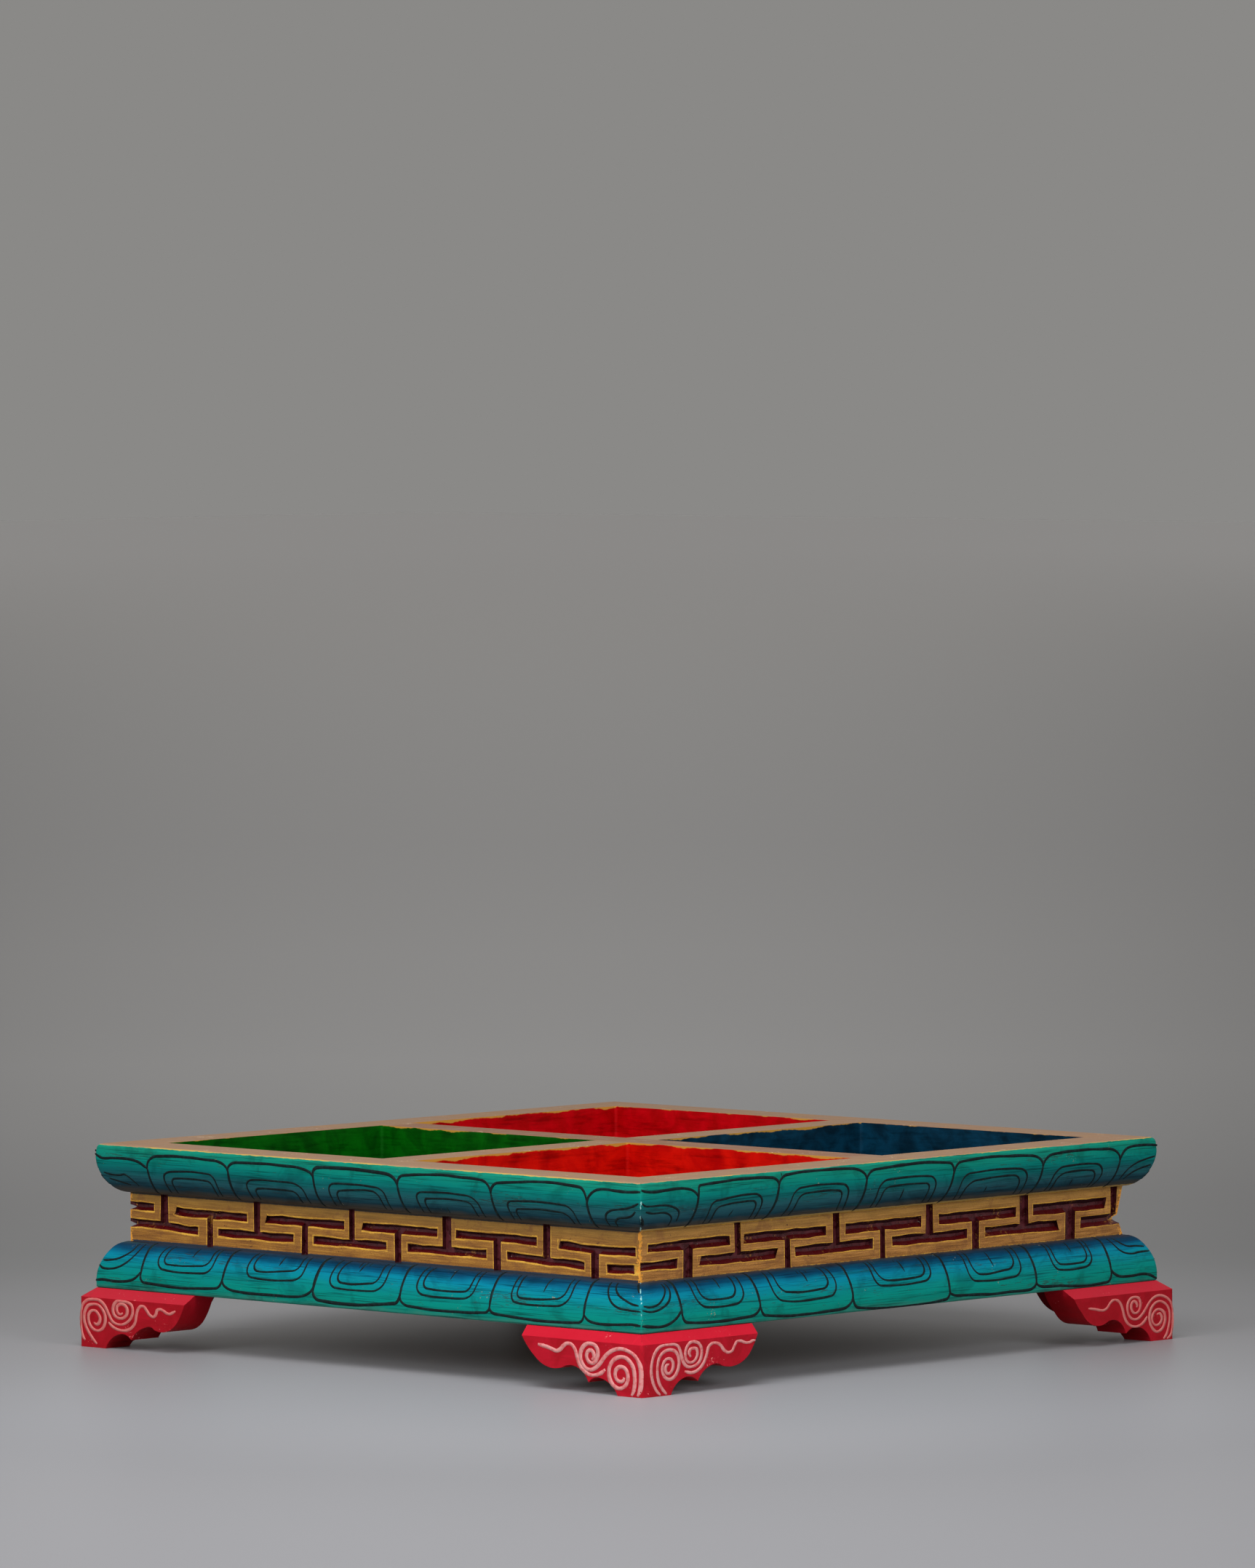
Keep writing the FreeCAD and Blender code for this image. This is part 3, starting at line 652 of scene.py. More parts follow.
# %% Petal sizes of the four rails in view
petal_tables = {
    ("front", "top"): {
        "dividers": [(-120.3, 0), (-74.3, 0), (-26.5, 0), (19.8, 0), (70.3, 0), (121.2, 0)],
        "outer": [
            (21.1, 20.9, 7.5, 5.3, 9, 4), (20.8, 20.8, 6, 3.4, 12, 3.8), (21.2, 20.8, 3, 2.3, 7, 4.5),
            (20.6, 21.1, 3.5, 4, 5.5, 5), (20.6, 21.2, 5, 4.5, 4, 5.5),
        ],
        "inner": [
            (-111.8, -82.6, 15.2, 15.2, 6, 3, 3.5, 3.5, 0, 0),
            (-108, -85.2, 12.2, 12.2, 2.5, 2.5, 2.5, 2.5, 0, 0),
            (-65.3, -33.3, 14.4, 14.4, 5, 3.5, 8, 4, 0, 0),
            (-61.2, -37.6, 10.7, 10.7, 3, 2, 3.5, 2.5, 0, 0),
            (-19, 11.8, 15.2, 15.2, 4, 3.2, 5, 3.5, 0, 0), (-15.4, 8.7, 12.6, 13.4, 3, 3, 4, 4, 0, 0),
            (28.9, 62.6, 14.6, 14.6, 4, 3, 7, 5, 0, 0), (32.8, 58.7, 12, 12, 2, 2.5, 3.5, 3, 0, 0),
            (77.9, 113, 13.6, 13.6, 3, 2.8, 5, 4, 0, 0), (81.4, 110, 10.4, 10.4, 2, 2.5, 5, 4, 0, 0),
        ],
        "ends": [
            [
                (121.4, 14.8), (122, 16.8), (123.5, 18.5), (126, 20.1), (129, 20.9), (132, 21),
                (136, 20.7), (142, 20.6), (149.6, 20.9),
            ],
            [
                (129.2, 5.3), (129, 8.3), (130, 10.8), (133, 12.7), (137, 13.5), (142, 14.3), (145, 15),
                (148.5, 16.5),
            ],
            [(133.2, 5.3), (133.3, 7.5), (135.5, 9.4), (140, 10.1), (143.5, 11.3), (146, 13.1)],
            [
                (-120.3, 15.8), (-121.5, 16.4), (-124, 17.8), (-128, 18.8), (-134, 19.2), (-140, 19),
                (-146, 18.8), (-149.7, 20.3),
            ],
            [
                (-128.5, 7.3), (-130, 9.3), (-132, 11.3), (-134.5, 12.5), (-137, 12), (-142, 12),
                (-146, 12.8),
            ],
            [(-133, 7.6), (-138, 8.8), (-144, 10.3)],
        ],
        "ticks": [[(43.7, 8.3), (43.6, 5.3)]],
        "smears": [[(148.2, 10.3), (147.6, 8.3), (147, 6.3)]],
        "heavy": [("outer", 2)],
        "foot": 4.6,
    },
    ("right", "top"): {
        "dividers": [(-117.9, -0.4), (-72.7, -2.3), (-22.7, -0.6), (28, -2), (80.8, -2.3), (127.5, -2.5)],
        "outer": [
            (21.5, 22, 1.5, 1, 5, 3.5), (22.6, 22.7, 5, 4, 10, 5), (21.5, 21.5, 6, 4, 3, 3.5),
            (21.5, 21.5, 5, 5.5, 9, 5), (21.2, 21.2, 7, 5, 8, 5),
        ],
        "inner": [
            (-110, -81, 15.1, 16.3, 4, 2.5, 6, 5, 0, 0), (-106.7, -84, 12.5, 13.5, 3, 3, 3, 3, 0, 0),
            (-64, -32, 17, 17, 5, 4, 5, 4.5, -1.5, 1.5),
            (-60.5, -35.5, 14.5, 14.5, 4, 3.5, 3, 3, -1.2, 1.2),
            (-14.7, 18.8, 16.9, 16.9, 5, 4, 5, 5, 0, 0), (-11.8, 15.3, 14.1, 14.1, 4, 3, 3, 3, 0, 0),
            (33.7, 72.5, 16.6, 16.6, 5, 4, 6, 5, 0, 0), (37, 69, 13.3, 14, 6, 5, 5, 5, 0, 0),
            (88.5, 118.2, 15.7, 15.7, 6, 5, 6, 5, -1, -2.7),
            (91, 114.4, 13.2, 13.2, 6, 4, 4, 4, -0.5, -1),
        ],
        "ends": [
            [
                (-149.7, 21.6), (-148, 21), (-143, 20.5), (-137, 20.8), (-130, 21.1), (-125, 20.8),
                (-121, 19.7), (-118.8, 18.1), (-117.9, 16.8),
            ],
            [
                (-149, 16.5), (-147.5, 15.5), (-144, 15.1), (-138, 15), (-133, 14.5), (-129, 13.1),
                (-127, 11.3), (-126.5, 7.3),
            ],
            [(-146, 12.9), (-142, 12.1), (-135, 11.8), (-131.5, 10.5), (-129.8, 8.8), (-129.5, 5.3)],
            [
                (127.7, 16.8), (128.5, 18.5), (130.5, 20.3), (134, 21.3), (140, 21.5), (146, 21.3),
                (149.7, 21),
            ],
            [(131, 7.3), (132, 9.8), (134, 12.3), (138, 14.5), (143, 15.8), (148.6, 16.6)],
            [(133.5, 7.3), (136, 9.8), (140, 11.6), (147, 13.2)],
        ],
        "ticks": [
            [(-96.5, 10.3), (-97.5, 7.3)], [(-71.5, 23.6), (-71.5, 22.3)], [(0.1, 12.8), (0.1, 7.3)],
            [(49.7, 10.3), (49.7, 7.3)], [(101.3, 9.8), (101, 6.8)],
        ],
        "smears": [[(-148.6, 11.3), (-146, 8.3), (-144, 6.3)]],
        "heavy": [],
        "foot": 4.6,
    },
    ("front", "base"): {
        "dividers": [(-124.3, 0.6), (-78, 1.5), (-27, 2), (20.7, 0.8), (69.5, 0.3), (119.5, -0.7)],
        "outer": [
            (19.5, 19.5, 2.5, 3, 4, 4), (20, 20, 9, 4, 10, 5), (20.8, 19.3, 4, 4, 3, 4),
            (20, 20, 6, 4, 3, 2.5), (20.2, 20.6, 4, 2.5, 3, 3),
        ],
        "inner": [
            (-116.3, -85, 14, 14, 5, 5, 5, 4, 2.5, 0.8), (-113, -87.4, 11.7, 11.2, 3, 3, 5, 3.5, 2, 0.9),
            (-65.5, -34.4, 14, 14, 4, 4, 6, 4, 1.5, 0.2), (-62.5, -37.5, 11.2, 10, 3, 3, 4, 3, 1.7, 0.3),
            (-19, 11.2, 15.4, 15.4, 5, 4, 7, 5, 2, 0.3), (-15.1, 7.5, 13.1, 12.4, 3, 3, 4, 4, 3.1, 0.5),
            (28.7, 60.1, 15.2, 15.2, 5, 4.5, 6, 4.5, 1.8, 0.9),
            (31.8, 57.2, 12.4, 12.4, 3, 3, 3, 3, 2.2, 0.8), (79.8, 110.9, 15, 15, 3.5, 4.5, 7, 5, 0, 0),
            (82.5, 108, 13, 12.4, 2.5, 3, 5, 4, 0, 0),
        ],
        "ends": [
            [
                (-149.8, 20.2), (-146, 19.8), (-140, 20), (-135, 20), (-130, 19.3), (-126.5, 17.7),
                (-124.3, 15.5),
            ],
            [
                (-148.5, 14), (-147, 15), (-143, 15.3), (-138, 14.5), (-134, 12.5), (-131, 9.5),
                (-129, 6), (-128.3, 3),
            ],
            [(-147, 12), (-144, 11.8), (-139, 10.8), (-135, 8.8), (-132.5, 6.5), (-131.5, 3)],
            [
                (119.5, 17.3), (120.6, 18.6), (122, 19.5), (126, 20.3), (131, 20.5), (138, 20.1),
                (145, 19.8), (149.5, 20),
            ],
            [(127.5, 2.5), (128.5, 6), (130, 9), (133, 12), (137, 13.8), (143, 14.3), (148.8, 14.5)],
            [(131, 2.5), (132.5, 6), (135, 8.5), (139.5, 10.5), (144, 12), (147.2, 12.4)],
            [(141, 2), (143.5, 5), (145, 7)],
        ],
        "ticks": [
            [(-96.7, 3), (-97.5, 6), (-98, 7.5)], [(-48, 3.5), (-48.3, 6), (-48.8, 8.3)],
            [(-2.7, 3), (-3.5, 6), (-4.3, 8)], [(-5.2, 3), (-5.4, 6.3)], [(-0.5, 3), (-0.6, 5)],
            [(46, 2.5), (45.7, 5.5), (45, 8)], [(97.5, 3), (96.7, 6), (96.2, 10)],
        ],
        "heavy": [("outer", 2), ("divider", 2)],
        "foot": 2.5,
    },
    ("right", "base"): {
        "dividers": [(-127, 0.7), (-83.3, -1.2), (-30.8, 0.1), (25.3, -0.3), (76.7, -0.7), (121.7, -0.5)],
        "outer": [
            (20.4, 20.6, 3, 3, 7, 5), (20.9, 21.3, 3, 3.5, 7, 5), (21.6, 22, 3.5, 4, 3, 3),
            (20.9, 21.5, 6, 2, 5, 3), (21, 21.8, 6, 2, 3, 4),
        ],
        "inner": [
            (-118.2, -90.9, 15.3, 15.3, 6, 6, 7, 6, 0, 0), (-114.8, -94.4, 12.4, 12.4, 5, 4, 5, 5, 0, 0),
            (-74.9, -38.7, 16, 16, 5, 6, 5, 6, 0, -2.8), (-71.2, -42.6, 12.8, 12.8, 5, 5, 5, 4, 0, -1.7),
            (-16.8, 16.7, 13.9, 13.9, 3.5, 4, 6, 5, 0, 0), (-14.5, 13.7, 12, 12, 5, 6, 5, 4, 0, 0),
            (37.6, 69.1, 15.9, 15.9, 4, 5, 6, 5, 0, 0), (40.7, 65.8, 13.5, 12.8, 4, 5, 6, 4.5, 0, 0),
            (87.7, 112, 15, 15, 4, 5, 7, 5, 0, 0), (90.2, 109.7, 12.8, 12.8, 3, 4, 5, 4, 0, 0),
        ],
        "ends": [
            [(-149.5, 20), (-145.3, 20.5), (-138.7, 20.9), (-134, 20), (-130, 18), (-127.2, 15.3)],
            [(-148.5, 14.2), (-144, 15), (-138.7, 14.3), (-132.7, 11.3), (-130.2, 7.3), (-130.3, 3.3)],
            [(-147.3, 12.5), (-144.7, 13), (-139.3, 12.3), (-135.3, 10), (-132.5, 6.7), (-132.2, 3.7)],
            [
                (121.7, 16.6), (122.3, 17.7), (124, 19), (126.7, 20), (133.3, 20.2), (140, 20),
                (144, 20.5), (149.3, 22.4),
            ],
            [
                (126.3, 3.3), (128, 6.7), (130.3, 9.7), (132.7, 10.9), (136.7, 11.4), (140.7, 11),
                (147, 11.1),
            ],
            [(129.3, 3.3), (132, 6), (135.3, 7.9), (140, 8.3), (145, 8.9)],
        ],
        "ticks": [
            [(-103.1, 3), (-103, 6), (-102.7, 8.3)], [(-55, 4), (-54.3, 6.7), (-53.9, 9.3)],
            [(-57, 4), (-56.8, 5.5)], [(-52.2, 4), (-52, 5.5)], [(1, 4), (1.5, 6.7), (2, 9.3)],
            [(-0.8, 3.4), (-0.9, 4.6)], [(3.3, 3.4), (3.4, 4.6)], [(52.3, 4), (52.8, 7.3), (53.5, 10.7)],
            [(100.8, 2.7), (101, 6.7), (101.2, 8)],
        ],
        "heavy": [],
        "foot": 2.5,
    },
}
print("rails with their own petals:", len(petal_tables))


# %% [markdown]
# ### The line paint
# The brush ran dry in places, so the greenish black lets some of the teal below shine through.

# %% The line paint
def line_paint(name, dark, thin, thin_share):
    material, tree, shader = new_material(name)
    solid = object_place(tree)
    patchy = use_group(tree, cloudy_mottle, {"Place": solid, "Size": 2.2})["Mottle"]
    colour = mixed(tree, fade(tree, patchy, 0.45, 0.0, 0.0, thin_share), dark, thin)
    tree.links.new(colour, shader.inputs["Base Color"])
    tree.links.new(fade(tree, patchy, 0.0, 1.0, 0.5, 0.7), shader.inputs["Roughness"])
    shader.inputs["Specular IOR Level"].default_value = 0.12
    return material


petal_line_paint = line_paint("petal_line_paint", paint(13, 26, 27), paint(13, 58, 58), 0.4)


# %% Paint the petals
def paint_petals(side, kind):
    """The front and right rails have measured petals; the hidden sides repeat them the other way round."""
    seen_side = {"back": "front", "left": "right"}.get(side, side)
    flip = 1 if side == seen_side else -1
    table = petal_tables[seen_side, kind]
    random.seed(f"{side} {kind} petals")

    def place(along, across, lift):
        out, z = on_rail(side, kind, along * flip * mm, max(across, 0.3) * mm, lift * mm)
        limit = out / mm - 0.3
        return max(-limit, min(limit, along * flip)) * mm, -out, z

    bm = bmesh.new()
    dividers, outer, heavy = table["dividers"], table["outer"], table["heavy"]
    left_starts = [crest - height for crest, _, _, height, _, _ in outer]
    right_starts = [crest - height for _, crest, _, _, _, height in outer]
    tops = map(max, zip(left_starts + right_starts[-1:], left_starts[:1] + right_starts))
    for number, ((left, lean), top) in enumerate(zip(dividers, tops)):
        width = 1.5 if ("divider", number) in heavy else 1.2
        middle = (left + lean * 0.35, top * 0.5)
        stroke(bm, [(left + lean, table["foot"] - 2.0), middle, (left, top + 0.3)], width, place, 0.75)
    for number, ((left, _), (right, _), sizes) in enumerate(zip(dividers, dividers[1:], outer)):
        crest_left, crest_right, *rounds = sizes
        width = 1.36 if ("outer", number) in heavy else 1.1
        stroke(bm, arch(left, right, crest_left, crest_right, rounds, (0, 0), None), width, place, 0.8)
    for left, right, crest_left, crest_right, *rest in table["inner"]:
        rounds, feet = rest[:4], rest[4:]
        stroke(bm, arch(left, right, crest_left, crest_right, rounds, feet, table["foot"]), 0.84, place, 0.55)
    for number, points in enumerate(table["ends"]):
        width = 1.08 if number in (0, 3) else 0.84
        stroke(bm, points, width, place, 0.6)
    for points in table["ticks"]:
        stroke(bm, points, 0.78, place, 0.3)
    for points in table.get("smears", []):
        stroke(bm, points, 2.2, place, 0.35)
    bmesh.ops.recalc_face_normals(bm, faces=bm.faces)
    for face in bm.faces:
        face.smooth = True
    turned(bm, side)
    return finished(bm, f"petal_lines_{kind}_{side}", [petal_line_paint])


for side in sides:
    for kind in rail_shapes:
        lines = paint_petals(side, kind)
print("faces of one rail's lines:", len(lines.data.polygons))

# %% [markdown]
# ## The carved frieze
# The board behind the rails was carved with a narrow chisel and gilded on its high parts, with red lacquer
# left in the grooves, paler on their floors; on the walls that face up a deep red is painted light, and on
# those that face down a near black is painted shade. The CAD model already holds the carving, so a copy of
# its mesh is merged, its arrises are bevelled, and a ring is inset round every strap: the gold is brighter
# there, partly rubbed by fingers and partly a painted highlight. The far right corner of the frieze is worn
# hollow.

# %% The gold and the lacquer
def gilt_paint():
    material, tree, shader = new_material("fret_gold")
    solid = object_place(tree)
    ring = add_node(tree, "Attribute", attribute_name="strap_edge").outputs["Fac"]
    height = add_node(tree, "SeparateXYZ", {0: solid}).outputs[2]
    flat = round_the_tray(tree, solid, height)
    streaks = use_group(tree, brush_streaks, {"Place": flat, "Length": 14.0, "Width": 0.6})["Streaks"]
    clouds = use_group(tree, cloudy_mottle, {"Place": solid, "Size": 7.0})["Mottle"]
    grain = noise_at(tree, solid, 2.6, 3.0, 0.7)
    brushed = total(tree, streaks, product(tree, less(tree, grain, 0.5), 0.6))
    stops = [(0.28, paint(96, 54, 20)), (0.5, paint(148, 98, 35)), (0.72, paint(192, 138, 54))]
    centre = ramp(tree, brushed, stops)
    # Painted highlight: the gold on the side facing plus X is lighter, where more light falls on it.
    right_side_highlight = product(tree, right_side(tree, solid), fade(tree, brushed, 0.4, 0.72, 0.05, 0.45))
    centre = mixed(tree, right_side_highlight, centre, paint(212, 146, 84))
    # Painted light: the upper part of the frieze is lightened towards the top rail, to offset the shade under
    # its overhang.
    centre = mixed(tree, fade(tree, height, 54, 61, 0.0, 0.5), centre, paint(156, 122, 48))
    colour = mixed(tree, fade(tree, clouds, 0.4, 0.0, 0.0, 0.5), centre, paint(120, 74, 36))
    # Partly rubbed gold and partly a painted highlight: a brighter gold round each strap's edge.
    rubbed_and_highlit_gold = mixed(tree, fade(tree, brushed, 0.3, 0.66), paint(172, 116, 28), paint(232, 178, 64))
    rough_edge = product(tree, less(tree, noise_at(tree, solid, 0.7, 3.0), 0.5), 1.1)
    ragged = total(tree, ring, rough_edge)
    colour = mixed(tree, fade(tree, ragged, 0.05, 0.35, 0.0, 0.4), colour, paint(112, 68, 30))
    rubbed_and_highlit_share = fade(tree, noise_at(tree, solid, 0.22, 2.0), 0.36, 0.6, 0.65, 1.0)
    colour = mixed(tree, product(tree, fade(tree, ragged, 0.2, 0.75), rubbed_and_highlit_share), colour, rubbed_and_highlit_gold)
    dirt = use_group(tree, chips, {"Place": solid, "Size": 0.9, "Amount": 0.25})["Chips"]
    colour = mixed(tree, dirt, colour, paint(70, 30, 20))
    low_edge, high_edge = frieze_bottom / mm, frieze_top / mm
    # Along the bottom edge the gold turns a darker blue-grey; along the top edge, under the top rail's
    # overhang, a painted shade. Both bands are narrower on the side facing plus X.
    ragged_height = total(tree, height, product(tree, rough_edge, 0.4))
    lower = total(tree, ragged_height, product(tree, right_side(tree, solid), 0.5))
    colour = mixed(tree, fade(tree, lower, low_edge + 0.9, low_edge + 0.5), colour, paint(34, 46, 62))
    upper = less(tree, ragged_height, product(tree, right_side(tree, solid), 0.8))
    colour = mixed(tree, fade(tree, upper, high_edge - 0.8, high_edge - 0.4), colour, paint(46, 42, 38))
    # Partly wear and partly a painted highlight: bright gold along the corner mitre.
    along_mitre = use_group(tree, mitre_wear_and_highlight, {"Place": solid, "Width": 2.2, "Gaps": 0.3})["WearAndHighlight"]
    colour = mixed(tree, along_mitre, colour, paint(226, 152, 50))
    tree.links.new(colour, shader.inputs["Base Color"])
    tree.links.new(fade(tree, streaks, 0.3, 0.7, 0.55, 0.35), shader.inputs["Roughness"])
    bump = add_node(tree, "Bump", {"Height": brushed, "Strength": 0.5, "Distance": 0.0004})
    tree.links.new(bump.outputs["Normal"], shader.inputs["Normal"])
    shader.inputs["Specular IOR Level"].default_value = 0.35
    return material


def lacquer():
    material, tree, shader = new_material("groove_lacquer")
    solid = object_place(tree)
    clouds = use_group(tree, cloudy_mottle, {"Place": solid, "Size": 3.0})["Mottle"]
    facing = add_node(tree, "NewGeometry").outputs["Normal"]
    upward = add_node(tree, "SeparateXYZ", {0: facing}).outputs[2]
    colour = mixed(tree, clouds, paint(50, 8, 12), paint(88, 34, 40))
    # Painted light and shade: walls that face up get a deep red as if lit, walls that face down a near black
    # painted shade.
    colour = mixed(tree, fade(tree, upward, 0.15, 0.45), colour, paint(78, 8, 13))
    colour = mixed(tree, fade(tree, upward, -0.15, -0.45), colour, paint(36, 8, 14))
    gold = use_group(tree, chips, {"Place": solid, "Size": 1.6, "Amount": 0.45})["Chips"]
    colour = mixed(tree, product(tree, gold, 0.6), colour, paint(160, 108, 44))
    specks = use_group(tree, chips, {"Place": solid, "Size": 0.5, "Amount": 0.1})["Chips"]
    colour = mixed(tree, specks, colour, paint(200, 190, 180))
    tree.links.new(colour, shader.inputs["Base Color"])
    tree.links.new(fade(tree, clouds, 0.0, 1.0, 0.25, 0.45), shader.inputs["Roughness"])
    shader.inputs["Specular IOR Level"].default_value = 0.25
    bump = add_node(tree, "Bump", {"Height": clouds, "Strength": 0.4, "Distance": 0.0004})
    tree.links.new(bump.outputs["Normal"], shader.inputs["Normal"])
    return material


fret_gold, groove_lacquer = gilt_paint(), lacquer()


# %% Carve and gild the boards
# The first and last stem of a fret stand this far from the board's ends. Every stem carries four cuts: the
# end of the bar on its left, its own two walls and the start of the bar on its right. The carver missed
# the drawn places by these millimetres, and cut most of the stems wider than the bars.
fret_ends = {"front": (19.2, 23.4), "right": (26.6, 5.7)}
cuts_from_stem = (-5.35, -1.55, 1.55, 5.35)
missed_by = {
    "front": [
        (-0.5, -0.3, 1.1, 0.5), (-1.7, -0.2, 0.1, -0.9), (-0.4, 0, 0.6, -1.4), (-0.8, 0.3, 0.8, -0.3),
        (1.4, 0.1, 0.4, -0.1), (-2.1, -1.1, -0.5, -1), (-0.3, -1.3, 0.5, -1.1), (-0.3, -0.2, 0.8, 0.2),
        (0.4, 0, 0.9, 1.5), (-0.6, -0.9, 0.4, 0.4),
    ],
    "right": [
        (-0.5, -1.1, 1.1, -0.1), (1.4, 0, 0.6, -1.6), (1.2, 0.8, 1.1, -0.1), (0.8, 1, 1.9, 1.3),
        (0.2, 0.5, 0.5, 0.8), (1, -0.3, 1, 0.5), (0.5, -0.8, 0.5, 0.4), (2, 0.1, 2.4, 1.3),
        (1, 0.1, 2.8, 2.4), (1.4, -0.1, 0.8, 0.2),
    ],
}


def cut_marks(side):
    """Where each cut was drawn, and how far beside it the chisel ran, from left to right."""
    seen_side = {"back": "right", "left": "front"}.get(side, side)
    first, last = fret_ends[seen_side]
    between = (280 - first - last) / (len(missed_by[seen_side]) - 1)
    marks = [(-140, 0)]
    for number, misses in enumerate(missed_by[seen_side]):
        stem = first - 140 + between * number
        marks += [(stem + start, miss) for start, miss in zip(cuts_from_stem, misses)]
    return marks + [(140, 0)]


def cut_beside(marks, along):
    for (start, low), (end, high) in zip(marks, marks[1:]):
        if along <= end:
            return low + (high - low) * (along - start) / (end - start)
    return 0.0


# Low bar and high bar: where their walls were drawn, and how much wider the right fret's bars are.
bar_walls = [(42, 0), (46.6, -0.5), (49.7, 0.4), (53.4, -0.55), (56.5, 0.45), (61.5, 0)]


def bar_widened(side, along, height):
    if side in ("front", "left"):
        return cut_beside(bar_walls, height) * 0.2
    strength = soft_step((along + 135) / 25) * (1 + 0.5 * soft_step((along - 80) / 12))
    return cut_beside(bar_walls, height) * strength


fret_drift = {
    "front": [(-140, 1.3), (-125, 1.2), (-105, 0), (70, 0), (97, -0.9), (118, -1.8), (140, -1.4)],
    "right": [(-140, -0.3), (-100, 0), (100, 0.3), (140, 0.5)],
}


def drift_at(side, along):
    points = fret_drift.get(side, [(-140, 0), (140, 0)])
    for (start, low), (end, high) in zip(points, points[1:]):
        if along <= end:
            return low + (high - low) * soft_step((along - start) / (end - start))
    return points[-1][1]


def hollow_at(side, along, height):
    """How deep the worn corner is hollowed here, in millimetres; the two boards that meet there share it."""
    end = {"right": 1, "back": -1}.get(side, 0)
    return 1.7 * soft_step((along * end - 134) / 5) * sin(pi * min(max((height - 43) / 17.5, 0), 1))


def cad_copy(node, side):
    """A merged copy of a CAD node's mesh, turned back so that it faces the front."""
    bm = bmesh.new()
    bm.from_mesh(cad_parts[node].data)
    bmesh.ops.remove_doubles(bm, verts=bm.verts, dist=0.000002)
    back_turn = Matrix.Rotation(radians(-90 * sides.index(side)), 3, "Z")
    bmesh.ops.rotate(bm, verts=bm.verts, cent=(0, 0, 0), matrix=back_turn)
    bmesh.ops.dissolve_limit(bm, angle_limit=radians(1), verts=bm.verts, edges=bm.edges)
    return bm


# No groove is as deep as this, and the board is cut across at even steps so that its straps can waver.
below_grooves, crossing_step = 2.3 * mm, 3.51
# A strap's arrises are rounded by the first of these, and its gold is brighter as wide as the second, partly
# rubbed and partly a painted highlight.
strap_round, bright_ring_width = 0.5 * mm, 0.75 * mm
# The lower bar of the front fret stops here, short of the near corner; the wood beyond it stays uncut.
filled_from = 136.7 * mm


def carve_frieze(side):
    node = f"frieze_board_{side}"
    bm = cad_copy(node, side)
    groove_floor = -frieze_face + below_grooves
    marks = cut_marks(side)
    crossings = [number * crossing_step * mm for number in range(-39, 40)]
    if side == "front":
        crossings.append(filled_from)
    for crossing in crossings:
        carved = [f for f in bm.faces if max(v.co.y for v in f.verts) < groove_floor]
        around = list(dict.fromkeys(item for f in carved for item in list(f.verts) + list(f.edges))) + carved
        bmesh.ops.bisect_plane(bm, geom=around, dist=1e-7, plane_co=(crossing, 0, 0), plane_no=(1, 0, 0))
    arrises = [
        e for e in bm.edges
        if max(v.co.y for v in e.verts) < -frieze_face + 0.05 * mm and len(e.link_faces) == 2
        and e.calc_face_angle() > radians(20) and max(abs(v.co.x) for v in e.verts) < frieze_face - 0.5 * mm
        and min(v.co.z for v in e.verts) > frieze_bottom + 0.1 * mm
        and max(v.co.z for v in e.verts) < frieze_top - 0.1 * mm
    ]
    bmesh.ops.bevel(bm, geom=arrises, offset=strap_round, offset_type="OFFSET", segments=3, profile=0.5,
                    affect="EDGES", material=-1, clamp_overlap=True)
    strap_edge = bm.verts.layers.float.new("strap_edge")
    for vertex in bm.verts:
        vertex[strap_edge] = 1
    strap_face = -frieze_face + 0.02 * mm
    straps = [f for f in bm.faces if f.normal.y < -0.99 and f.calc_center_median().y < strap_face]
    bmesh.ops.inset_region(bm, faces=straps, thickness=bright_ring_width, use_even_offset=True, use_boundary=True)
    for face in straps:
        for vertex in face.verts:
            vertex[strap_edge] = 0
    seed = sides.index(side) * 9.1
    for vertex in bm.verts:
        if vertex.co.y > groove_floor:
            continue
        x, z = vertex.co.x / mm, vertex.co.z / mm
        raised = vertex.co.y + frieze_face - 0.25 * mm
        if side == "front" and x > filled_from / mm - 0.01 and z < 53 and raised > 0:
            vertex.co.y -= raised
            vertex.co.x += raised if x > 137.5 else 0
        inside = soft_step((z - 42) / 2.5) * soft_step((61.5 - z) / 2.5)
        edges = soft_step((140 - abs(x)) / 3)
        wobble_z = noise.noise((x * 0.16, z * 0.35, seed)) * 0.45 + drift_at(side, x)
        wobble_x = noise.noise((x * 0.2, z * 0.3, seed + 4)) * 0.5
        depth = noise.noise((x * 0.3, z * 0.3, seed + 8)) * 0.12
        hollow = hollow_at(side, x, z)
        vertex.co.z += (wobble_z * inside + bar_widened(side, x, z)) * mm
        vertex.co.x += (wobble_x * edges + cut_beside(marks, x) - hollow * (1 if x > 0 else -1)) * mm
        vertex.co.y += (depth * edges * inside + hollow) * mm
    bmesh.ops.triangulate(bm, faces=[f for f in bm.faces if len(f.verts) > 4])
    for face in bm.faces:
        centre = face.calc_center_median()
        carved = centre.y < groove_floor
        hollow = hollow_at(side, centre.x / mm, centre.z / mm)
        gilded = 0.15 if abs(face.normal.x) > 0.5 else 0.36
        lacquered = carved and hollow < 1.2 and centre.y > -frieze_face + (gilded + hollow) * mm
        face.smooth = carved
        face.material_index = 1 if lacquered else 0
    for edge in bm.edges:
        edge.smooth = edge.calc_face_angle(0) < radians(38)
    turned(bm, side)
    return finished(bm, f"carved_{node}", [fret_gold, groove_lacquer], [node])


for side in sides:
    board = carve_frieze(side)
print("faces of one frieze board:", len(board.data.polygons))

# %% [markdown]
# ## The scalloped feet
# Each corner foot is two sawn wings that meet in a mitre, painted a strong red with pale pink scrolls.
# The CAD wings have the drawn outline. Their arrises are eased, because a brush rounds them, and the
# scallops of the wings in view are moved by up to a few millimetres to where the saw left them.

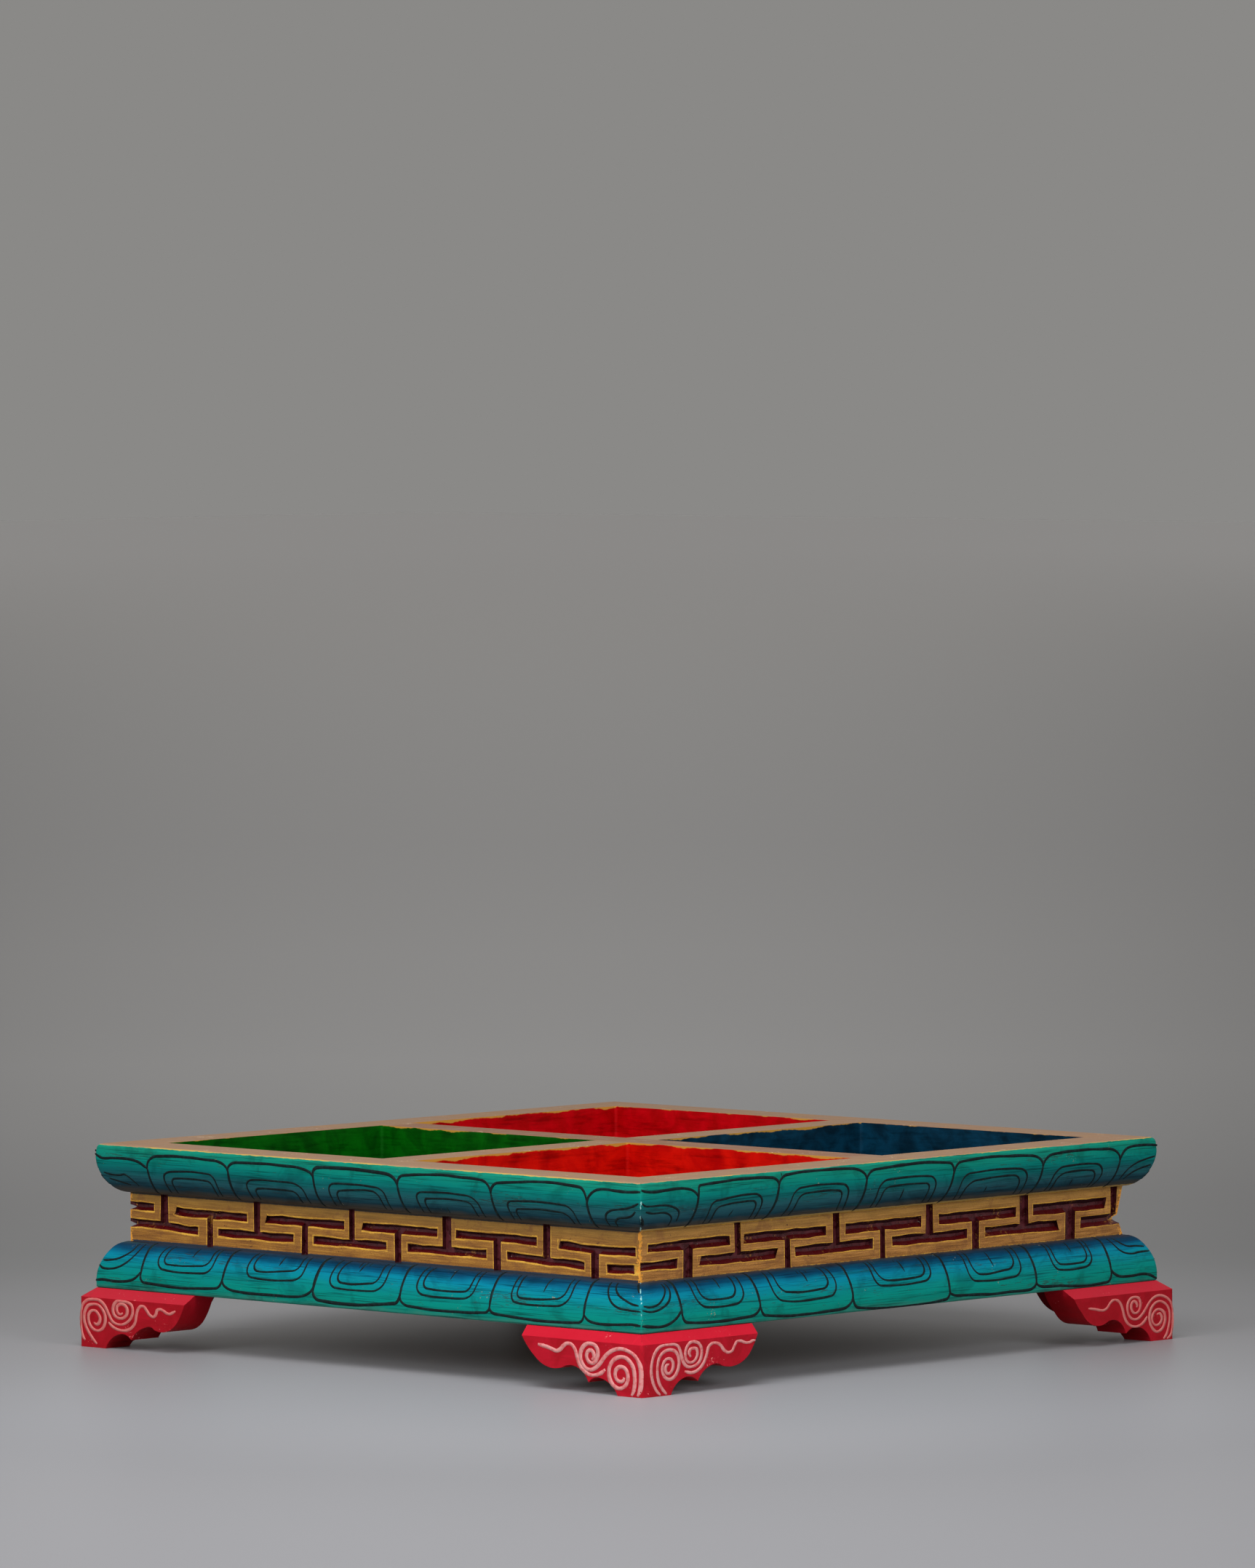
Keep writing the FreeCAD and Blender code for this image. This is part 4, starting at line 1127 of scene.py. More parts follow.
# %% The red paint and the feet
def red_paint():
    material, tree, shader = new_material("foot_red")
    solid = object_place(tree)
    parts = add_node(tree, "SeparateXYZ", {0: solid})
    clouds = use_group(tree, cloudy_mottle, {"Place": solid, "Size": 9.0})["Mottle"]
    streaks = use_group(tree, brush_streaks, {"Place": solid, "Length": 10.0, "Width": 0.9})["Streaks"]
    # Painted light: the red is lighter towards the near corner and darker towards the other feet, as the
    # lamps' light falls off.
    near = fade(tree, less(tree, parts.outputs[0], parts.outputs[1]), 60, 260)
    light = mixed(tree, near, paint(168, 15, 32), paint(180, 16, 38))
    colour = mixed(tree, clouds, mixed(tree, near, paint(148, 8, 22), paint(160, 9, 26)), light)
    colour = mixed(tree, fade(tree, streaks, 0.6, 0.3, 0.0, 0.35), colour, paint(140, 8, 22))
    # Painted highlight on the faces that look up, and painted shade on the faces that look down.
    facing = add_node(tree, "NewGeometry").outputs["Normal"]
    upward = add_node(tree, "SeparateXYZ", {0: facing}).outputs[2]
    lit_shoulder_red = mixed(tree, near, paint(184, 36, 52), paint(194, 25, 46))
    colour = mixed(tree, fade(tree, upward, 0.3, 0.65, 0.0, 0.85), colour, lit_shoulder_red)
    colour = mixed(tree, fade(tree, upward, -0.3, -0.7, 0.0, 0.9), colour, paint(150, 2, 14))
    spots = use_group(tree, chips, {"Place": solid, "Size": 0.9, "Amount": 0.2})["Chips"]
    colour = mixed(tree, spots, colour, paint(226, 120, 120))
    joint = use_group(tree, mitre_wear_and_highlight, {"Place": solid, "Width": 0.3, "Gaps": 0.2})["WearAndHighlight"]
    colour = mixed(tree, product(tree, joint, 0.6), colour, paint(110, 10, 20))
    tree.links.new(colour, shader.inputs["Base Color"])
    tree.links.new(fade(tree, clouds, 0.0, 1.0, 0.4, 0.6), shader.inputs["Roughness"])
    bump = add_node(tree, "Bump", {"Height": streaks, "Strength": 0.3, "Distance": 0.0003})
    tree.links.new(bump.outputs["Normal"], shader.inputs["Normal"])
    shader.inputs["Specular IOR Level"].default_value = 0.1
    return material


foot_red = red_paint()


# Millimetres from the corner: where a mark of the drawn wing lies, and where the saw left it.
sawn_marks = {
    ("front", "right"): [
        (0, 0), (7, 7), (14, 12.8), (20.5, 20.8), (29.5, 28.1), (35.5, 34.6), (43, 41.8), (56.8, 56.2),
        (62.6, 63.4), (64, 64.8),
    ],
    ("right", "front"): [
        (0, 0), (7, 7), (14, 15.9), (20.5, 23), (29.5, 30.9), (35.5, 38.4), (43, 44.6), (56.8, 59.4),
        (62.6, 64.5), (64, 65.9),
    ],
    ("front", "left"): [
        (0, 0), (7, 7), (14, 14.9), (20.5, 22.3), (29.5, 29.6), (35.5, 37.8), (43, 42.8), (56.8, 55.3),
        (62.6, 60.1), (64, 61.3),
    ],
    ("right", "back"): [
        (0, 0), (7, 7), (20.5, 20.6), (29.5, 29.2), (35.5, 34.6), (43, 41.6), (58.6, 55.7), (62.8, 60.8),
        (64, 62),
    ],
}


def as_sawn(side, neighbour, from_corner):
    marks = sawn_marks.get((side, neighbour), [(0, 0), (64, 64)])
    for (start, sawn_start), (end, sawn_end) in zip(marks, marks[1:]):
        if from_corner <= end:
            break
    return sawn_start + (sawn_end - sawn_start) * (from_corner - start) / (end - start)


def corner_sign(side, neighbour):
    """The wing's corner is at the right end of its side if the neighbour is the next side round."""
    return 1 if neighbour == sides[(sides.index(side) + 1) % 4] else -1


def ease_foot(side, neighbour):
    """Ease the arrises and the mitred corner, and move the scallops to where they were sawn."""
    node = f"foot_bracket_{side}_at_{neighbour}"
    bm = cad_copy(node, side)
    sign = corner_sign(side, neighbour)
    arrises = [e for e in bm.edges if len(e.link_faces) == 2 and e.calc_face_angle() > radians(35)
               and max(v.co.z for v in e.verts) < foot_height - 0.1 * mm
               and max(abs(abs(v.co.x) + v.co.y) for v in e.verts) > 0.1 * mm]
    bmesh.ops.bevel(bm, geom=arrises, offset=0.5 * mm, offset_type="OFFSET", segments=3, profile=0.5,
                    affect="EDGES", material=-1, clamp_overlap=True)
    for face_out in (foot_face, rail_face):
        for step in (0.2, 0.5, 0.9, 1.4, 2.0):
            everything = bm.verts[:] + bm.edges[:] + bm.faces[:]
            cut_place = ((face_out - step * mm) * sign, 0, 0)
            bmesh.ops.bisect_plane(bm, geom=everything, dist=1e-7, plane_co=cut_place, plane_no=(1, 0, 0))
    for vertex in bm.verts:
        out, along = -vertex.co.y, vertex.co.x * sign
        if out > rail_face - 0.5 * mm:
            out -= eased_mitre(min(along, out), out, 1.5 * mm)
        if along < -vertex.co.y - 0.05 * mm:
            along = foot_face - as_sawn(side, neighbour, (foot_face - along) / mm) * mm
        vertex.co.x, vertex.co.y = min(along, out) * sign, -out
    for face in bm.faces:
        face.smooth = False
    turned(bm, side)
    return finished(bm, f"eased_{node}", [foot_red], [node])


feet = [(side, sides[(sides.index(side) + step) % 4]) for side in sides for step in (1, -1)]
for side, neighbour in feet:
    foot = ease_foot(side, neighbour)
print("wings:", len(feet), "faces of one:", len(foot.data.polygons))

# %% [markdown]
# ### The cloud scrolls
# A tall spiral, a spiral inside it and a running crescent fill each wing. They were painted freehand, so
# the four wings that the photograph shows each have their own strokes, measured from the corner and from
# the ground in millimetres. The hidden wings repeat them.

# %% Paint the scrolls
near_left_scrolls = [
    [
        (2.4, 0.5), (1.5, 2), (0.8, 4.2), (0.6, 7), (0.8, 10.6), (2, 13.8), (4, 16), (7.2, 17.4),
        (10.8, 18), (14.5, 17.4), (17.6, 16), (19.9, 14.2), (22.2, 11.7), (24.5, 9.9), (26.7, 9.1),
        (29, 9.3), (31, 10.8), (32.1, 12.9), (32.2, 15.1), (31, 17.4), (29, 18.8), (26.7, 19.1),
        (24.5, 18.5), (23.1, 16.7), (23.2, 14.5), (24.2, 12.6), (26, 11.6), (27.9, 12.2), (29, 14),
        (28.5, 15.8), (26.7, 16.6), (25.4, 15.6), (25.1, 14), (26.3, 12.9),
    ],
    [
        (5.6, 0.6), (4.5, 2.4), (3.8, 5.1), (3.8, 8.3), (4.5, 11.3), (6.3, 13.5), (8.8, 14.9),
        (11.7, 14.9), (14.5, 13.8), (16.5, 11.7), (17.3, 9), (16.7, 6), (14.9, 4), (12.2, 3), (9.9, 3.5),
        (8.1, 4.9), (7.3, 7.4), (7.9, 9.7), (9.5, 11), (11.7, 11.1), (13.5, 9.9), (14, 7.9), (12.9, 6),
        (11, 5.5), (9.7, 6), (9.2, 7.2),
    ],
    [
        (19.2, 9.6), (21.3, 8.1), (24, 7.2), (26.7, 7), (29.5, 7.9), (31.7, 9.5), (33.3, 11.7),
        (34.2, 14.2), (35.4, 16.7), (37.2, 18.1), (39.5, 18.2), (41.3, 17.2), (42.9, 15.8), (44.9, 15.1),
        (47.2, 15.6), (49.9, 16.3), (52.6, 16.8), (54.7, 17.1),
    ],
]
near_right_scrolls = [
    [
        (10.1, 0.5), (8.1, 2.1), (6.3, 4.9), (5.3, 7.6), (5, 10.3), (5.5, 13), (6.7, 15.8), (9, 18.3),
        (11.7, 19.2), (14.9, 19.3), (18.1, 19.2), (20.1, 18.3), (21.3, 16.2), (22, 14), (23.1, 11.7),
        (24.9, 10.3), (27.2, 10), (29.9, 10.5), (32, 11.9), (33, 14.2), (32.9, 16.7), (31.5, 18.5),
        (29.2, 19.3), (26.7, 19.2), (24.9, 17.8), (24, 15.8), (24.1, 13.5), (25.4, 11.9), (27.4, 11.6),
        (29.5, 12.6), (30.6, 14.6), (30.1, 16.5), (28.5, 16.9), (26.7, 16.5), (26.1, 15.1), (27, 13.7),
    ],
    [
        (13.5, 0.5), (11.7, 2.1), (9.9, 4.4), (8.8, 7.1), (8.5, 10.1), (8.9, 13), (10.1, 15.3),
        (12.6, 16.8), (15.4, 17.2), (18.1, 16.5), (19.9, 14.6), (20.4, 12.1), (19.7, 9.4), (17.9, 7.1),
        (15.4, 6.1), (13.1, 6.7), (11.5, 8.5), (11.2, 11), (12.2, 13), (14.2, 14), (16.3, 13.4),
        (17.2, 11.7), (16.7, 9.6), (15.1, 8.3), (13.5, 8.5), (12.9, 10.1), (13.5, 11.5), (14.9, 11.8),
    ],
    [
        (23.5, 8.5), (25.4, 8), (27.6, 7.7), (30.4, 8.3), (32.6, 9.6), (34.5, 11.7), (35.8, 14.4),
        (36.7, 16.7), (38.5, 18), (41.3, 18), (43.5, 17.1), (45.4, 15.1), (47.6, 14), (49.9, 14.4),
        (51.3, 16.2), (52.6, 17.7), (54.9, 17.8), (57.2, 17.1), (59.5, 16.9), (61.7, 17.5), (63.1, 17.5),
    ],
]
left_scrolls = [
    [
        (3.1, 2.6), (1.7, 4.2), (0.8, 7), (0.5, 10.1), (0.7, 13.8), (2, 17), (4.5, 18.8), (7.6, 19.2),
        (10.8, 19.1), (13.5, 17.9), (15.6, 15.6), (17.2, 13.1), (19, 11), (21.7, 10.1), (24.9, 10.2),
        (27.6, 11.3), (29.7, 13.1), (30.6, 15.6), (29.9, 18.1), (27.6, 19.1), (24.5, 19.3), (21.5, 19.1),
        (19.7, 17.6), (19.2, 15.4), (20.1, 13.5), (22.6, 12.5), (25.4, 12.9), (27.2, 14.5), (27.2, 16.7),
        (25.4, 18), (23.3, 18), (21.7, 17), (21.7, 15.4), (23.1, 14.2), (24.9, 14.8),
    ],
    [
        (9.9, 1.5), (7.6, 3.3), (5.4, 5.6), (3.5, 8.3), (2.6, 11.3), (3.1, 14.2), (4.9, 16.5),
        (7.6, 17.2), (10.6, 17.2), (12.9, 15.8), (14.5, 13.5), (14.7, 10.8), (13.5, 8.3), (11.3, 7),
        (8.8, 7), (6.5, 8.3), (5.1, 10.6), (5.1, 12.9), (6.7, 14.5), (8.8, 14.7), (10.8, 13.3),
        (11.7, 11.5), (11, 9.9), (9.7, 9.3), (8.1, 9.9),
    ],
    [
        (16.6, 10.6), (18.5, 9.2), (21.3, 8.1), (24.5, 7.7), (27.6, 8.1), (30.4, 9.7), (32, 11.7),
        (32.6, 14.2), (33.5, 16.5), (35.1, 18), (37, 18), (38.5, 16.7), (40.4, 14.9), (42.4, 14.3),
        (43.8, 15.4), (44.5, 17), (46.3, 17.5), (48.1, 17), (49.9, 16.2), (51.7, 16), (53.3, 16.6),
        (54.9, 17.3),
    ],
]
far_right_scrolls = [
    [
        (4.2, 0.4), (1.9, 1.7), (0.9, 4), (0.6, 6.7), (0.6, 10.3), (1, 13), (2.9, 15.8), (5.8, 17.4),
        (9, 18), (12.2, 17.4), (14.9, 15.8), (17.2, 13.5), (19.5, 11.2), (22.2, 9.6), (24.9, 9.6),
        (27.2, 11), (28.3, 13.5), (28.1, 16.2), (26.3, 18), (23.5, 18.4), (21.3, 17.6), (20.4, 15.5),
        (20.8, 13.3), (22.6, 11.9), (24.7, 12.1), (26, 14), (25.8, 15.8), (24.5, 16.7), (22.9, 16),
        (22.5, 14.6), (23.1, 14.4),
    ],
    [
        (6.3, 0.4), (4.5, 2.1), (3.3, 4.9), (2.6, 8), (2.7, 11.2), (4, 13.5), (6.3, 15.1), (9, 15.8),
        (11.7, 15.1), (14, 13), (14.9, 10.3), (14.7, 7.6), (13.1, 5.1), (10.8, 3.7), (8.1, 4.2),
        (6.3, 5.8), (5.4, 8), (5.7, 10.5), (7.4, 12.1), (9.9, 12.6), (12.2, 11.5), (13.3, 9.4),
        (12.9, 7.4), (11, 6.2), (8.8, 6.7), (7.4, 8.3), (7.6, 9.6), (8.8, 10.8), (10.4, 10.5),
    ],
    [
        (16.3, 10.1), (18.1, 8.3), (20.8, 6.9), (24, 6.6), (27.2, 7.4), (29.2, 9), (30.4, 11.2),
        (31.3, 14), (32.6, 16.5), (34.9, 18), (37.2, 18), (39, 16.9), (40.6, 15.3), (42.6, 14.5),
        (44.9, 14.6), (47.2, 15.1), (49.5, 15.5), (52.0, 15.8),
    ],
]
wing_scrolls = {
    ("front", "right"): near_left_scrolls,
    ("right", "front"): near_right_scrolls,
    ("front", "left"): left_scrolls,
    ("right", "back"): far_right_scrolls,
    ("left", "front"): near_right_scrolls,
    ("back", "right"): near_left_scrolls,
    ("back", "left"): far_right_scrolls,
    ("left", "back"): left_scrolls,
}


def scroll_paint():
    """Pale pink, darker and redder towards the far corners."""
    material, tree, shader = new_material("scroll_pink")
    solid = object_place(tree)
    parts = add_node(tree, "SeparateXYZ", {0: solid}).outputs
    near = fade(tree, less(tree, parts[0], parts[1]), 60, 240)
    patchy = use_group(tree, cloudy_mottle, {"Place": solid, "Size": 2.2})["Mottle"]
    thick = mixed(tree, near, paint(194, 113, 108), paint(206, 137, 135))
    colour = mixed(tree, fade(tree, patchy, 0.6, 0.0, 0.0, 0.7), thick, paint(198, 82, 84))
    tree.links.new(colour, shader.inputs["Base Color"])
    shader.inputs["Roughness"].default_value = 0.6
    shader.inputs["Specular IOR Level"].default_value = 0.12
    return material


scroll_pink = scroll_paint()


# The brush was wider on some wings: millimetres on a level stroke, and how much wider an upright one is.
scroll_brush = {
    ("front", "right"): (1.4, 0.3), ("right", "front"): (1.05, 0.45),
    ("front", "left"): (1, 0.55), ("right", "back"): (0.9, 0.5),
}


def paint_scrolls(side, neighbour):
    sign = corner_sign(side, neighbour)
    random.seed(f"{side} {neighbour} scrolls")
    width, upright = scroll_brush.get((side, neighbour), (1.1, 0.4))

    def place(from_corner, height, lift):
        along = foot_face - from_corner * mm
        out = foot_face - eased_mitre(along, foot_face, 1.5 * mm)
        return along * sign, -out - lift * mm, height * mm

    bm = bmesh.new()
    for points in wing_scrolls[side, neighbour]:
        stroke(bm, points, width, place, 0.6, 0.6, upright)
    bmesh.ops.recalc_face_normals(bm, faces=bm.faces)
    for face in bm.faces:
        face.smooth = True
    turned(bm, side)
    return finished(bm, f"cloud_scrolls_{side}_at_{neighbour}", [scroll_pink])


for side, neighbour in feet:
    scrolls = paint_scrolls(side, neighbour)
print("faces of one wing's scrolls:", len(scrolls.data.polygons))

# %% [markdown]
# ## The rim coat and the painted compartments
# One coat of tan paint runs over the rails and the dividers, so no joint shows on the rim. Below it each
# compartment has its own colour, brushed on over a yellow undercoat that peeps out along the top edge.
# Both are thin skins: the coat is a frame with four eased openings, the compartments are open boxes.

# %% The rim coat
def tan_paint():
    material, tree, shader = new_material("rim_tan")
    solid = object_place(tree)
    clouds = use_group(tree, cloudy_mottle, {"Place": solid, "Size": 12.0})["Mottle"]
    streaks = use_group(tree, brush_streaks, {"Place": solid, "Length": 30.0, "Width": 1.2})["Streaks"]
    colour = mixed(tree, clouds, paint(148, 113, 84), paint(160, 127, 97))
    colour = mixed(tree, fade(tree, streaks, 0.55, 0.3, 0.0, 0.4), colour, paint(130, 96, 74))
    unsigned = add_node(tree, "VectorMath", {0: solid}, operation="ABSOLUTE").outputs[0]
    spot = add_node(tree, "SeparateXYZ", {0: unsigned}).outputs
    on_divider = product(tree, fade(tree, spot[1], 8.6, 7.6), fade(tree, spot[0], 130, 120))
    colour = mixed(tree, product(tree, on_divider, 0.8), colour, paint(140, 98, 74))
    spots = use_group(tree, chips, {"Place": solid, "Size": 1.2, "Amount": 0.3})["Chips"]
    colour = mixed(tree, spots, colour, paint(214, 190, 160))
    tree.links.new(colour, shader.inputs["Base Color"])
    tree.links.new(fade(tree, clouds, 0.0, 1.0, 0.45, 0.65), shader.inputs["Roughness"])
    shader.inputs["Specular IOR Level"].default_value = 0.15
    return material


rim_coat_paint = tan_paint()
coat_edge, coat_top, coat_bottom = 147.5 * mm, 81.08 * mm, 80.84 * mm
opening_near, opening_far = divider_half + 0.15 * mm, rim_back - 0.15 * mm


def make_rim_coat():
    """A square plate, cut into strips along the compartments' edges, with the four openings taken out."""
    bm = bmesh.new()
    bmesh.ops.create_grid(bm, x_segments=1, y_segments=1, size=coat_edge)
    for cut in (-opening_far, -opening_near, opening_near, opening_far):
        for direction in ((1, 0, 0), (0, 1, 0)):
            plane = Vector(direction) * cut
            everything = bm.verts[:] + bm.edges[:] + bm.faces[:]
            bmesh.ops.bisect_plane(bm, geom=everything, dist=1e-7, plane_co=plane, plane_no=direction)
    openings = [
        f for f in bm.faces
        if all(opening_near < abs(c) < opening_far for c in f.calc_center_median().xy)
    ]
    bmesh.ops.delete(bm, geom=openings, context="FACES")
    bmesh.ops.translate(bm, verts=bm.verts, vec=(0, 0, coat_bottom))
    grown = bmesh.ops.extrude_face_region(bm, geom=bm.faces[:], use_keep_orig=True)["geom"]
    top = [item for item in grown if isinstance(item, bmesh.types.BMVert)]
    bmesh.ops.translate(bm, verts=top, vec=(0, 0, coat_top - coat_bottom))
    bmesh.ops.recalc_face_normals(bm, faces=bm.faces)
    arrises = [e for e in bm.edges if len(e.link_faces) == 2 and e.calc_face_angle() > radians(40)
               and min(v.co.z for v in e.verts) > coat_top - 0.1 * mm]
    bmesh.ops.bevel(bm, geom=arrises, offset=0.15 * mm, offset_type="OFFSET", segments=3, profile=0.5,
                    affect="EDGES", material=-1, clamp_overlap=True)
    return finished(bm, "rim_coat", [rim_coat_paint])


rim_coat = make_rim_coat()
print("faces of the rim coat:", len(rim_coat.data.polygons))


# %% The compartments
def compartment_paint(name, deep, light, edge_amount, left_more):
    """A mottled colour that is lighter in strokes, with the undercoat near the top edge.
    left_more is how much further down it shows on the walls that face right."""
    material, tree, shader = new_material(name)
    solid = object_place(tree)
    height = add_node(tree, "SeparateXYZ", {0: solid}).outputs[2]
    clouds = use_group(tree, cloudy_mottle, {"Place": solid, "Size": 11.0})["Mottle"]
    flat = round_the_tray(tree, solid, height)
    streaks = use_group(tree, brush_streaks, {"Place": flat, "Length": 12.0, "Width": 1.4})["Streaks"]
    colour = mixed(tree, clouds, deep, light)
    darker = mixed(tree, 1.0, colour, paint(170, 160, 160), "MULTIPLY")
    colour = mixed(tree, fade(tree, streaks, 0.55, 0.3, 0.0, 0.7), colour, darker)
    ragged = product(tree, noise_at(tree, flat, 0.09, 4.0, 0.6), 3.2)
    patches = product(tree, noise_at(tree, flat, 0.022, 2.0), 3.0)
    edge = total(tree, total(tree, height, ragged), patches)
    facing = add_node(tree, "SeparateXYZ", {0: add_node(tree, "NewGeometry").outputs["Normal"]}).outputs[0]
    edge = total(tree, edge, fade(tree, facing, 0.4, 0.7, 0.0, left_more))
    start = rim_height / mm + 3.0 - edge_amount
    colour = mixed(tree, fade(tree, edge, start, start + 0.35), colour, paint(186, 138, 56))
    tree.links.new(colour, shader.inputs["Base Color"])
    tree.links.new(fade(tree, streaks, 0.3, 0.7, 0.35, 0.55), shader.inputs["Roughness"])
    bump = add_node(tree, "Bump", {"Height": streaks, "Strength": 0.35, "Distance": 0.0004})
    tree.links.new(bump.outputs["Normal"], shader.inputs["Normal"])
    shader.inputs["Specular IOR Level"].default_value = 0.06
    return material


compartments = {
    "green": ((-1, -1), paint(0, 60, 2), paint(2, 88, 5), 0.1, -0.5),
    "orange": ((1, -1), paint(162, 0, 0), paint(198, 14, 2), 0.65, 0.1),
    "navy": ((1, 1), paint(2, 28, 43), paint(5, 51, 74), -0.15, 0.8),
    "crimson": ((-1, 1), paint(154, 0, 3), paint(186, 0, 13), 0.15, 0.45),
}
skin = 0.3 * mm


def line_compartment(name, corner, material):
    """An open box that stands a hair inside the compartment's walls, with its inner arrises eased."""
    bm = bmesh.new()
    bmesh.ops.create_cube(bm, size=1)
    low, high = divider_half + skin, rim_back - skin
    middle, width = (low + high) / 2, high - low
    bottom, top = cell_floor + 0.1 * mm, coat_bottom + 0.1 * mm
    bmesh.ops.scale(bm, verts=bm.verts, vec=(width, width, top - bottom))
    bmesh.ops.translate(bm, verts=bm.verts, vec=(middle * corner[0], middle * corner[1], (top + bottom) / 2))
    lid = max(bm.faces, key=lambda f: f.calc_center_median().z)
    bmesh.ops.delete(bm, geom=[lid], context="FACES")
    arrises = [e for e in bm.edges if len(e.link_faces) == 2]
    bmesh.ops.bevel(bm, geom=arrises, offset=1.2 * mm, offset_type="OFFSET", segments=4, profile=0.5,
                    affect="EDGES", material=-1, clamp_overlap=True)
    bmesh.ops.recalc_face_normals(bm, faces=bm.faces)
    bmesh.ops.reverse_faces(bm, faces=bm.faces)
    bmesh.ops.solidify(bm, geom=bm.faces[:], thickness=0.08 * mm)
    for face in bm.faces:
        face.smooth = False
    return finished(bm, f"{name}_compartment_paint", [material])


for name, (corner, *coat) in compartments.items():
    line_compartment(name, corner, compartment_paint(f"compartment_{name}", *coat))
print("compartments:", ", ".join(compartments))


# %% [markdown]
# ## The wood that stays bare
# The floor panel, the glue blocks and the dowels come from the CAD model unchanged. They only show from
# below or not at all, and get plain sawn wood. The dividers are wood under their paint.

# %% Bare wood
def bare_wood(name, pale, dark):
    material, tree, shader = new_material(name)
    solid = object_place(tree)
    grain = use_group(tree, brush_streaks, {"Place": solid, "Length": 60.0, "Width": 1.6})["Streaks"]
    lengthened = stretched(tree, solid, (0.08, 1, 1))
    rings = use_group(tree, cloudy_mottle, {"Place": lengthened, "Size": 6.0})["Mottle"]
    colour = mixed(tree, grain, dark, pale)
    colour = mixed(tree, product(tree, rings, 0.4), colour, dark)
    tree.links.new(colour, shader.inputs["Base Color"])
    tree.links.new(fade(tree, grain, 0.3, 0.7, 0.75, 0.6), shader.inputs["Roughness"])
    bump = add_node(tree, "Bump", {"Height": grain, "Strength": 0.3, "Distance": 0.0003})
    tree.links.new(bump.outputs["Normal"], shader.inputs["Normal"])
    return material


panel_wood = bare_wood("panel_wood", paint(186, 154, 116), paint(150, 118, 84))
block_wood = bare_wood("block_wood", paint(172, 134, 94), paint(130, 94, 62))
carried_over = {
    "floor_panel": panel_wood,
    "divider_": panel_wood,
    "glue_block_": block_wood,
    "stack_dowels": block_wood,
}
for node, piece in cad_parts.items():
    for start, material in carried_over.items():
        if node.startswith(start):
            piece.data.materials.clear()
            piece.data.materials.append(material)
print("carried over:", [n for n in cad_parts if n.startswith(tuple(carried_over))])

# %% [markdown]
# ## The studio
# The tray stands on a pale grey sweep. The floor's grey changes with distance from the tray, as the
# sweep does in the photograph, and the background beyond is a plain grey that only the camera sees.
# Large soft lamps give even light, so every colour renders about as it is written, and the surroundings
# are brightest near the ground, as a white sweep is, which lights the shadow under the tray a little.

# %% Floor and background
pool_centre, near_corner, floor_reach = Vector((0.82, -0.87, 0)), Vector((0.15, -0.15, 0)), 20.0
light_foot, light_side = Vector((2.84, -2.98, 0)), Vector((0.724, 0.689, 0))


def light_across(tree, place, away):
    """Painted light and shade on the sweep: lightest on a line that runs from a point before the tray through
    its middle, and darker to both sides of that line; the difference is small close by and ends far behind."""
    ahead = add_node(tree, "VectorMath", {0: place, 1: light_foot}, operation="SUBTRACT").outputs[0]
    reach = add_node(tree, "VectorMath", {0: ahead}, operation="LENGTH").outputs["Value"]
    aside = add_node(tree, "VectorMath", {0: ahead, 1: light_side}, operation="DOT_PRODUCT").outputs["Value"]
    slope = total(tree, calc(tree, "DIVIDE", aside, reach), 0.0072)
    loss = calc(tree, "MINIMUM", product(tree, product(tree, slope, slope), 82.0), 0.45)
    close_by, far_behind = fade(tree, away, 0.9, 1.6, 0.5, 1.0), fade(tree, away, 7.0, 17.0, 1.0, 0.0)
    share = product(tree, close_by, far_behind)
    return total(tree, 1.0, product(tree, share, less(tree, 0.12, loss)))


def studio_floor():
    """A painted pool of pale grey round a point before the tray, that falls to the grey of the background,
    and a small painted pool of light round the near corner, where the lamps reach under the tray."""
    material, tree, shader = new_material("studio_sweep")
    place = add_node(tree, "TexCoord").outputs["Object"]
    away = add_node(tree, "VectorMath", {0: place, 1: pool_centre}, operation="DISTANCE").outputs["Value"]
    shade = calc(tree, "DIVIDE", away, floor_reach)
    colour = ramp(tree, shade, [(at / floor_reach, paint(*grey)) for at, grey in floor_greys])
    beside = add_node(tree, "VectorMath", {0: place, 1: near_corner}, operation="DISTANCE").outputs["Value"]
    # Painted light: the floor is up to 18 % lighter close to the tray's near corner.
    lift = product(tree, fade(tree, beside, 0.13, 0.3, 1.18, 1.0), light_across(tree, place, away))
    colour = add_node(tree, "VectorMath", {0: colour, "Scale": lift}, operation="SCALE").outputs[0]
    tree.links.new(colour, shader.inputs["Base Color"])
    shader.inputs["Roughness"].default_value = 0.45
    shader.inputs["Specular IOR Level"].default_value = 0.35
    return material
